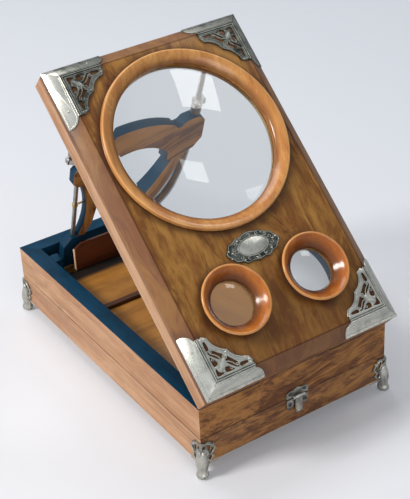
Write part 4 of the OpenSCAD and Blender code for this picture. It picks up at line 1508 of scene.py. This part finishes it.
@dataclass
class Mounts(Assembly):
    """The four cast corner mounts of the lid, drawn from a corner along its two edges."""

    flange: float = 60.0
    thick: float = 1.2
    wing: float = 52.3
    cusp: float = 34.6
    bead: float = 0.65

    def build(self) -> None:
        """Casts one mount and copies it to the four corners."""
        self.cast(self.pattern(), "cast_mount", self.axes.lid, SIZES.lid_l, "pewter_lid", "mount")

    def pattern(self) -> Piece:
        """One mount, in distances from the corner and height on the lid.

        Returns:
            The pattern.
        """
        cast = Casting("mount_pattern")
        self.lattice(cast)
        bevel = math.atan2(SIZES.bevel_h, SIZES.bevel_w)
        slope = Matrix.Translation((0.0, 0.0, SIZES.side_h)) @ Matrix.Rotation(bevel, 4, "X")
        for move in (slope, SWAP @ slope):
            self.wing_plate(cast, bevel, move)
        low = SIZES.side_h
        for flip in (STILL, SWAP):
            edge = [(0.3, 0.35, low), (self.flange - 1.2, 0.35, low)]
            cast.add(Bench.wire(cast.name, edge, self.bead), flip)
        return cast.join()

    def lattice(self, cast: Casting) -> None:
        """The pierced plate on the flat, with its rims, strands and leaf.

        Args:
            cast: The casting that it is added to.
        """
        edge = SIZES.bevel_w - 0.7
        half = [(self.wing, edge), (self.wing, 14.3), (51.2, 15.3), (52.8, 17.0), (50.0, 22.2)]
        bay = hollow(half[-1], (self.cusp, self.cusp), 18.0)
        outline = [(edge, edge)] + half + bay + [(self.cusp, self.cusp)]
        outline += mirrored(bay[::-1]) + mirrored(half[::-1])
        holes = [smooth_loop([(40.2, 18.9), (47.2, 18.5), (47.4, 16.5), (43.2, 15.9), (39.6, 16.0)], 3),
                 smooth_loop([(29.4, 28.2), (31.6, 28.8), (34.4, 25.4), (38.6, 20.6), (38.2, 16.8),
                              (35.6, 16.6), (32.2, 19.9), (28.6, 23.8)], 3),
                 smooth_loop([(24.9, 19.9), (28.2, 20.4), (33.0, 16.8), (32.0, 15.8), (24.9, 15.9)], 3)]
        holes += [mirrored(hole)[::-1] for hole in holes]
        holes.append(smooth_loop([(15.4, 15.4), (21.4, 15.9), (21.8, 17.0), (18.5, 18.5),
                                  (17.0, 21.8), (15.9, 21.4)], 3))
        top = SIZES.lid_t + self.thick
        cast.plate([outline] + holes, SIZES.lid_t, top, 0.28)
        leaf = smooth_loop([(27.6, 27.6), (26.4, 23.8), (23.4, 21.0), (19.2, 19.2), (21.0, 23.4),
                            (23.8, 26.4)])
        cast.plate([leaf], top - 0.2, top + 0.7, 0.45)
        for flip in (STILL, SWAP):
            cast.line([(12.3, 12.3), (self.wing, 12.3)], top + 0.05, 0.6, move=flip)
            cast.line([(14.0, 14.0), (self.wing - 1.0, 14.0)], top, 0.38, move=flip)
            rim = [(51.2, 17.9), (49.0, 21.3)] + hollow((49.0, 21.3), (33.8, 33.8), 18.8)
            cast.line(rim + [(33.8, 33.8)], top, 0.45, move=flip)
            inner = hollow((46.9, 19.7), (31.3, 30.4), 20.0)
            cast.line([(46.9, 19.7)] + inner + [(31.3, 30.4)], top, 0.32, move=flip)
            strands = (([(26.6, 25.2), (30.6, 24.2), (33.4, 21.9), (35.6, 19.0), (39.0, 17.4)], 0.62, 0.7),
                       ([(24.4, 21.6), (28.4, 21.8), (32.0, 19.3), (34.6, 16.4)], 0.5, 0.8),
                       ([(27.2, 26.6), (30.2, 27.4), (32.2, 31.4)], 0.5, 0.8))
            for path, radius, tip in strands:
                cast.line(path, top, radius, tip=tip, move=flip)
            cast.scroll((37.4, 19.2), 1.7, 200.0, 400.0, top + 0.1, 0.45, flip)
            cast.scroll((30.2, 17.9), 1.5, 40.0, -380.0, top + 0.1, 0.4, flip)
            cast.boss((49.8, 18.9), top, 0.9, 0.6, flip)
            cast.boss((23.3, 17.6), top, 0.7, 0.5, flip)

    def wing_plate(self, cast: Casting, bevel: float, move: Matrix) -> None:
        """One flange over the bevel, rounded at its end, with a raised border line.

        Args:
            cast: The casting that it is added to.
            bevel: Slope of the bevel.
            move: Matrix that lays it on the bevel.
        """
        width = math.hypot(SIZES.bevel_h, SIZES.bevel_w)
        thick = self.thick - 0.15
        spread = thick * math.sin(bevel)
        end = self.flange
        bow = [(end - 0.3, 0.0), (end, 2.5), (end - 0.4, 6.0), (end - 2.0, 9.4), (end - 4.6, 12.0),
               (end - 7.6, 13.4), (end - 8.2, width)]
        cast.plate([[(-spread, 0.0)] + bow + [(SIZES.bevel_w - spread, width)]], 0.0, thick, 0.3, move)
        border = [(1.4, 1.5), (end - 1.9, 1.5), (end - 1.7, 3.0), (end - 2.0, 5.6), (end - 3.4, 8.6),
                  (end - 5.6, 10.8), (end - 8.6, 12.1), (SIZES.bevel_w + 0.4, width - 1.6)]
        low = thick - 0.2
        cast.line(border, low, 0.36, move=move)
        cast.line([(SIZES.bevel_w - 0.3, width - 0.5), (end - 8.4, width - 0.5)], low, 0.5, move=move)
        for place in ((end - 3.6, 0.9), (6.0, 0.9)):
            cast.boss(place, low, 0.55, 0.3, move)


@dataclass
class Cartouche(Assembly):
    """The bare oval plate in its border of scrolls."""

    middle_v: float = 109.7
    thick: float = 1.3
    oval: Point = (15.3, 8.2)
    ring: Point = (20.2, 11.0)
    scrolls: int = 14

    def ellipse(self, grow: float, steps: int = 48) -> list[Point]:
        """The oval field, grown all round."""
        turns = [2 * math.pi * k / steps for k in range(steps)]
        return [((self.oval[0] + grow) * math.cos(a), (self.oval[1] + grow) * math.sin(a)) for a in turns]

    def build(self) -> None:
        """Casts the plate."""
        cast = Casting("cast_cartouche")
        outline = smooth_loop([(-28.0, -1.8), (-28.2, 1.6), (-25.6, 4.2), (-23.6, 8.0), (-19.0, 9.0),
                               (-14.6, 11.4), (-8.6, 12.0), (-4.0, 13.8), (2.0, 13.9), (7.6, 12.6),
                               (13.0, 11.6), (17.6, 8.6), (22.6, 6.8), (24.4, 3.4), (27.8, 0.4), (27.6, -4.0),
                               (24.4, -6.2), (21.8, -9.6), (16.2, -10.6), (12.6, -13.4), (6.6, -13.0),
                               (0.4, -13.9), (-6.0, -12.8), (-12.2, -13.2), (-16.4, -10.2), (-22.4, -8.8),
                               (-24.6, -5.2)], 3)
        holes = [smooth_loop([(x - w, v), (x, v + h), (x + w, v), (x, v - h)], 3)
                 for x, v, w, h in ((-18.4, 5.6, 1.5, 0.8), (-21.8, 0.2, 0.9, 1.5), (6.6, 10.5, 1.6, 0.6),
                                    (0.4, 11.4, 1.3, 0.6), (19.6, -3.8, 0.8, 1.4), (24.8, -2.4, 0.8, 1.2),
                                    (22.0, 3.6, 1.2, 0.8), (-8.4, 9.9, 1.4, 0.6))]
        cast.plate([outline] + [hole[::-1] for hole in holes], 0.0, self.thick, 0.35)
        cast.line([(x * 0.96, v * 0.945) for x, v in outline], self.thick, 0.4, closed=True)
        cast.plate([self.ellipse(-0.4)], self.thick - 0.3, self.thick + 0.35, 0.3)
        cast.line(self.ellipse(0.5), self.thick + 0.2, 0.6, closed=True)
        for k in range(self.scrolls):
            angle = 2 * math.pi * (k + 0.5) / self.scrolls
            centre = (self.ring[0] * math.cos(angle), self.ring[1] * math.sin(angle))
            turn = 330.0 if k % 2 else -330.0
            cast.scroll(centre, 1.9, math.degrees(angle) + 180, turn, self.thick + 0.1, 0.5)
        for x, v in ((-25.0, -4.6), (-13.5, -9.6), (-0.9, -11.4), (8.5, -10.8), (25.0, 0.8), (-24.8, 2.6),
                     (16.4, -8.2), (-12.6, 9.0), (13.2, 9.2)):
            cast.boss((x, v), self.thick, 0.95, 0.75)
        piece = cast.join()
        Bench.move(piece, self.axes.lid.matrix() @ Matrix.Translation((0.0, self.middle_v, SIZES.lid_t)))
        Bench.smooth(piece, 40.0)
        self.finish(piece, self.finishes.made["pewter_lid"], "pewter", "cartouche")


@dataclass
class Feet(Assembly):
    """The four cast feet, each a fluted stem and toe under a pierced bracket round its corner."""

    thick: float = 1.5

    def build(self) -> None:
        """Casts one foot and copies it to the four corners."""
        self.cast(self.pattern(), "cast_foot", self.axes.case, SIZES.case_d, "pewter_case", "foot")

    def pattern(self) -> Piece:
        """One foot, in distances from the corner of the case and height from its rim.

        Returns:
            The pattern.
        """
        cast = Casting("foot_pattern")
        for flip in (STILL, SWAP):
            self.bracket(cast, flip @ STAND)
        under = -SIZES.case_h
        cast.plate([[(0.0, 0.0), (18.0, 0.0), (15.0, 3.0), (7.0, 7.0), (3.0, 15.0), (0.0, 18.0)]],
                   under - 2.4, under, 0.5)
        cast.add(self.stem())
        return cast.join()

    def bracket(self, cast: Casting, move: Matrix) -> None:
        """One face of the bracket: pierced, with a raised edge and three scrolls.

        Args:
            cast: The casting that it is added to.
            move: Matrix that stands it on its wall.
        """
        outline = smooth_loop([(-self.thick, -64.5), (-self.thick, -53.5), (-self.thick, -39.6), (0.8, -38.0),
                               (3.2, -39.4), (6.2, -38.4), (9.2, -39.4), (10.8, -42.6), (13.4, -44.5),
                               (14.8, -48.2), (13.4, -51.4), (10.4, -53.1), (12.2, -55.6), (12.0, -58.4),
                               (9.2, -60.7), (7.4, -62.8), (5.8, -64.6)], 3)
        holes = [smooth_loop([(4.8, -41.2), (7.6, -41.2), (8.4, -45.1), (7.6, -48.9), (5.6, -46.5)], 3),
                 smooth_loop([(9.8, -45.6), (12.2, -47.9), (11.0, -50.3), (8.2, -51.9), (7.2, -50.9),
                              (9.6, -49.1)], 3),
                 smooth_loop([(7.6, -54.0), (9.8, -55.8), (9.2, -58.3), (6.8, -59.8), (7.0, -56.5)], 3),
                 smooth_loop([(1.0, -41.4), (3.2, -42.8), (2.6, -45.2), (0.6, -43.8)], 3)]
        cast.plate([outline] + holes, 0.0, self.thick, 0.35, move)
        edge = [(4.4, -40.8), (7.4, -40.7), (9.6, -42.8), (12.0, -45.2), (13.2, -48.0), (12.0, -50.7),
                (9.6, -52.4), (11.0, -55.6), (10.6, -58.1), (8.0, -60.2), (6.2, -62.5)]
        cast.line(edge, self.thick, 0.5, tip=0.8, move=move)
        cast.scroll((10.4, -43.1), 2.0, 60.0, -400.0, self.thick, 0.55, move)
        cast.scroll((4.4, -50.7), 3.0, 100.0, 380.0, self.thick, 0.7, move)
        cast.scroll((11.0, -56.7), 1.5, -60.0, 380.0, self.thick, 0.45, move)
        cast.line([(0.6, -45.2), (3.2, -45.9), (5.4, -47.9), (6.2, -51.4), (4.6, -55.3)], self.thick, 0.6,
                  tip=0.7, move=move)

    @staticmethod
    def stem() -> Piece:
        """The stem from its bulging head to the toe, from levels of height, middle and radius.

        Returns:
            The stem.
        """
        levels = [(-45.4, 1.7, 0.6), (-46.4, 1.5, 2.0), (-48.0, 1.2, 3.2), (-50.4, 1.0, 4.2),
                  (-54.0, 0.9, 5.2), (-58.0, 0.8, 5.9), (-62.0, 0.8, 6.1), (-65.0, 0.8, 5.4),
                  (-67.5, 0.7, 4.7), (-69.5, 0.5, 4.6), (-71.4, 0.3, 5.2), (-73.0, 0.1, 5.8),
                  (-74.6, 0.0, 5.8), (-76.0, 0.2, 4.9), (-76.8, 0.4, 3.8), (-77.0, 0.5, 2.6)]
        Bench.clear()
        height, middle, radius = levels[0]
        bpy.ops.mesh.primitive_circle_add(vertices=36, radius=radius, fill_type="NGON",
                                          location=(middle, middle, height))
        stem = Bench.named(Bench.settle(bpy.context.object), "foot_stem")
        Bench.edit(stem)
        for new_height, new_middle, new_radius in levels[1:]:
            step = (new_middle - middle, new_middle - middle, new_height - height)
            bpy.ops.mesh.extrude_region_move(TRANSFORM_OT_translate={"value": step})
            grow = new_radius / radius
            bpy.ops.transform.resize(value=(grow, grow, 1.0),
                                     center_override=(new_middle, new_middle, new_height))
            height, middle, radius = new_height, new_middle, new_radius
        bpy.ops.object.mode_set(mode="OBJECT")
        flutes, deepest = 8, 0.085
        head, toe = -58.0, -73.0
        for vertex in stem.data.vertices:
            centre = next(m for h, m, _ in levels if abs(h - vertex.co.z) < 0.02)
            x, y = vertex.co.x - centre, vertex.co.y - centre
            depth = deepest * min(max((head - vertex.co.z) / 6.0, 0.0), 1.0)
            depth *= min(max((vertex.co.z - toe) / 3.0, 0.0), 1.0)
            swell = 1 + depth * math.cos(flutes * math.atan2(y, x))
            vertex.co.x, vertex.co.y = centre + x * swell, centre + y * swell
        Bench.outward(stem)
        Bench.apply(stem, "SUBSURF", levels=1, render_levels=1)
        Bench.drill(stem, vertices=20, radius=0.9, depth=4.0, location=(-1.4, -6.4, -73.9),
                    rotation=(math.radians(90), 0.0, 0.0))
        return stem


@dataclass
class Catch(Assembly):
    """The front catch, its edges eased as castings have them."""

    ease: float = 0.25

    def build(self) -> None:
        """Dresses the three castings."""
        for node in ("catch_upper_plate", "catch_lower_plate", "catch_tongue"):
            self.eased(node, self.ease, self.finishes.made["pewter_case"], "pewter")


@dataclass
class Strut(Assembly):
    """The strut, its rods, and the stays."""

    ease: float = 0.7

    def build(self) -> None:
        """Builds and dresses the strut."""
        shift = (50.0, 0.0, 30.0)
        cuts = {"painted_strut": (("leg_left", "leg_right"), Grain.UP, shift, Coat.STRUT),
                "painted_strut_feet": (("strut_feet",), Grain.UP, (0.0, 0.0, 0.0), Coat.ALL),
                "painted_arch": (("arch_rail",), Grain.ACROSS, shift, Coat.STRUT)}
        for name, (nodes, grain, place, coat) in cuts.items():
            wood = self.finishes.make(Wood, name, self.axes.strut, FRONT_WALNUT, grain, place, coat=coat)
            for node in nodes:
                self.eased(node, self.ease, wood, "painted_wood")
        self.repaint("worn_steel", "lower_rods", "stay_rods", "stay_clips")
        self.repaint("aged_brass", "rod_eyes")


@dataclass
class Slide(Assembly):
    """The card slide and its folding rest."""

    def build(self) -> None:
        """Builds and dresses the slide."""
        place = self.axes.case
        front = self.case_place(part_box("carriage_board")[0]).y
        rest = self.case_place(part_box("card_rest")[0])
        # Painted shade: the front strip of the slide is darkened like a shaded edge, and the stretch just
        # before the rest is made nearly black, like the shaded gap under the rest.
        board = self.finishes.make(Zoned, "slide_wood", place, LINING, (75.0, 40.0, 8.0),
                                   [(1, front + 6.5, front + 6.0, 0.9, tone(54, 22, 12)),
                                    (1, rest.y - 20.0, rest.y - 11.0, 0.96, tone(10, 22, 28))])
        self.eased("carriage_board", 0.5, board, "lining_wood")
        # The left end of the rest: a lighter bare-wood edge, made much lighter still as a painted highlight.
        wood = self.finishes.make(Zoned, "rest_wood", place, REST, (15.0, 0.0, 0.0),
                                  [(0, rest.x + 0.9, rest.x + 0.6, 0.9, tone(246, 206, 168))])
        self.eased("card_rest", 0.4, wood, "rest_wood")
        self.repaint("aged_brass", "card_rest_pivots")


@dataclass(frozen=True)
class Lamp:
    """An area lamp."""

    name: str
    place: Point3
    size: Point
    power: float
    colour: Point3
    aim: Point3 = (0.0, 0.0, 0.12)

    def build(self) -> None:
        """Adds the lamp."""
        data = bpy.data.lights.new(self.name, "AREA")
        data.shape = "RECTANGLE"
        data.size, data.size_y = self.size
        data.energy = self.power
        data.color = self.colour
        lamp = bpy.data.objects.new(self.name, data)
        bpy.context.scene.collection.objects.link(lamp)
        way = Vector(self.aim) - Vector(self.place)
        lamp.matrix_world = Matrix.Translation(self.place) @ way.to_track_quat("-Z", "Y").to_matrix().to_4x4()


@dataclass
class Studio:
    """Floor, backdrop, lamps and camera."""

    case: Place
    eye: Point3 = (-591.66, -795.03, 753.06)
    heading: float = -32.29
    height_angle: float = 32.30
    roll: float = -3.19
    focal_px: float = 1374.37
    image_h: float = 499.0
    sensor: float = 36.0
    floor_size: float = 16.0
    floor_lift: float = 0.15
    floor_way: Point3 = (0.845, 0.25, 0.0)
    lit_side: Point3 = (-0.62, -0.28, 0.62)
    lamps: Sequence[Lamp] = field(default_factory=lambda: (
        Lamp("key", (-3.1, 0.6, 2.75), (1.0, 1.0), 106.0, (1.0, 0.96, 0.91)),
        Lamp("top", (0.0, 0.8, 1.9), (1.0, 0.8), 10.0, (1.0, 0.98, 0.96)),
        Lamp("window", (1.18, -0.15, 1.89), (0.5, 0.42), 3.5, (1.0, 1.0, 0.97)),
        Lamp("front", (-0.5, -2.2, 1.0), (1.2, 0.8), 8.0, (1.0, 0.96, 0.92))))

    def build(self) -> None:
        """Builds the studio."""
        self.camera()
        self.floor()
        self.sky()
        for lamp in self.lamps:
            lamp.build()
        bpy.context.scene.view_settings.view_transform = "Standard"

    def camera(self) -> None:
        """The camera, at the photograph's viewpoint."""
        data = bpy.data.cameras.new("camera")
        data.sensor_fit = "VERTICAL"
        data.sensor_height = self.sensor
        data.lens = self.focal_px * self.sensor / self.image_h
        data.clip_end = 50.0
        camera = bpy.data.objects.new("camera", data)
        bpy.context.scene.collection.objects.link(camera)
        turn = Matrix.Rotation(math.radians(self.heading), 4, "Z")
        tip = Matrix.Rotation(math.radians(90 - self.height_angle), 4, "X")
        level = Matrix.Rotation(math.radians(self.roll), 4, "Z")
        camera.matrix_world = Matrix.Translation(self.case.point(*self.eye)) @ turn @ tip @ level
        bpy.context.scene.camera = camera

    def floor(self) -> None:
        """A pale floor, a little lighter for the camera than the lamps make it, its colour darkening away
        from the key lamp's side as painted shade.
        """
        Bench.clear()
        bpy.ops.mesh.primitive_plane_add(size=self.floor_size, location=(0, 0, 0))
        floor = Bench.named(bpy.context.object, "studio_floor")
        material = bpy.data.materials.new("pale_floor")
        material.use_nodes = True
        graph = Graph(material.node_tree)
        where = graph.make("ShaderNodeTexCoord", output="Object")
        along = graph.vector("DOT_PRODUCT", where, self.floor_way, output=1)
        # Painted shade: the floor's colour darkens along floor_way, away from the key lamp's side.
        fade = (along + graph.noise(where, (0.9, 0.9, 0.9), 1.0) * 0.1).ramp(-0.45, 0.75)
        colour = graph.mix(fade, tone(232, 233, 238), tone(214, 219, 228))
        surface = graph.make("ShaderNodeBsdfPrincipled", {"Base Color": colour, "Roughness": 0.9,
                                                          "Specular IOR Level": 0.1})
        lift = graph.make("ShaderNodeLightPath", output="Is Camera Ray") * self.floor_lift
        glow = graph.make("ShaderNodeEmission", {"Color": tone(232, 236, 244), "Strength": lift})
        both = graph.make("ShaderNodeAddShader", {0: surface, 1: glow})
        graph.add("ShaderNodeOutputMaterial", {"Surface": both})
        dress(floor, material)

    def sky(self) -> None:
        """Even pale light from all round, and the pale backdrop that camera and glass see."""
        world = bpy.data.worlds.new("pale_world")
        bpy.context.scene.world = world
        world.use_nodes = True
        graph = Graph(world.node_tree)
        way = graph.make("ShaderNodeTexCoord", output="Generated")
        lit = graph.vector("DOT_PRODUCT", way, self.lit_side, output=1)
        camera, glossy, through = (graph.make("ShaderNodeLightPath", output=f"Is {ray} Ray")
                                   for ray in ("Camera", "Glossy", "Transmission"))
        seen = graph.math("MAXIMUM", graph.math("MAXIMUM", camera, glossy), through)
        strength = graph.blend(seen, lit.ramp(-0.5, 0.95, 0.06, 0.4), lit.ramp(-0.6, 0.9, 0.5, 1.0))
        light = graph.make("ShaderNodeBackground", {"Color": tone(226, 232, 238), "Strength": strength})
        graph.add("ShaderNodeOutputWorld", {"Surface": light})


def main() -> None:
    """Builds the scene from the floor up and reports each piece."""
    logging.basicConfig(level=logging.INFO, format="%(name)s: %(message)s")
    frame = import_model()
    axes = Axes.from_frame(frame["joints"])
    bodies = frame["record"]["behaviour"]["bodies"]
    body = {node: name for name, members in bodies.items() for node in members}
    Studio(axes.case).build()
    finishes = Finishes(axes)
    for part in (Case, Feet, Catch, Lid, Mounts, Cartouche, Strut, Slide):
        part(axes, finishes, frame["nodes"], body).build()


if __name__ == "__main__":
    main()
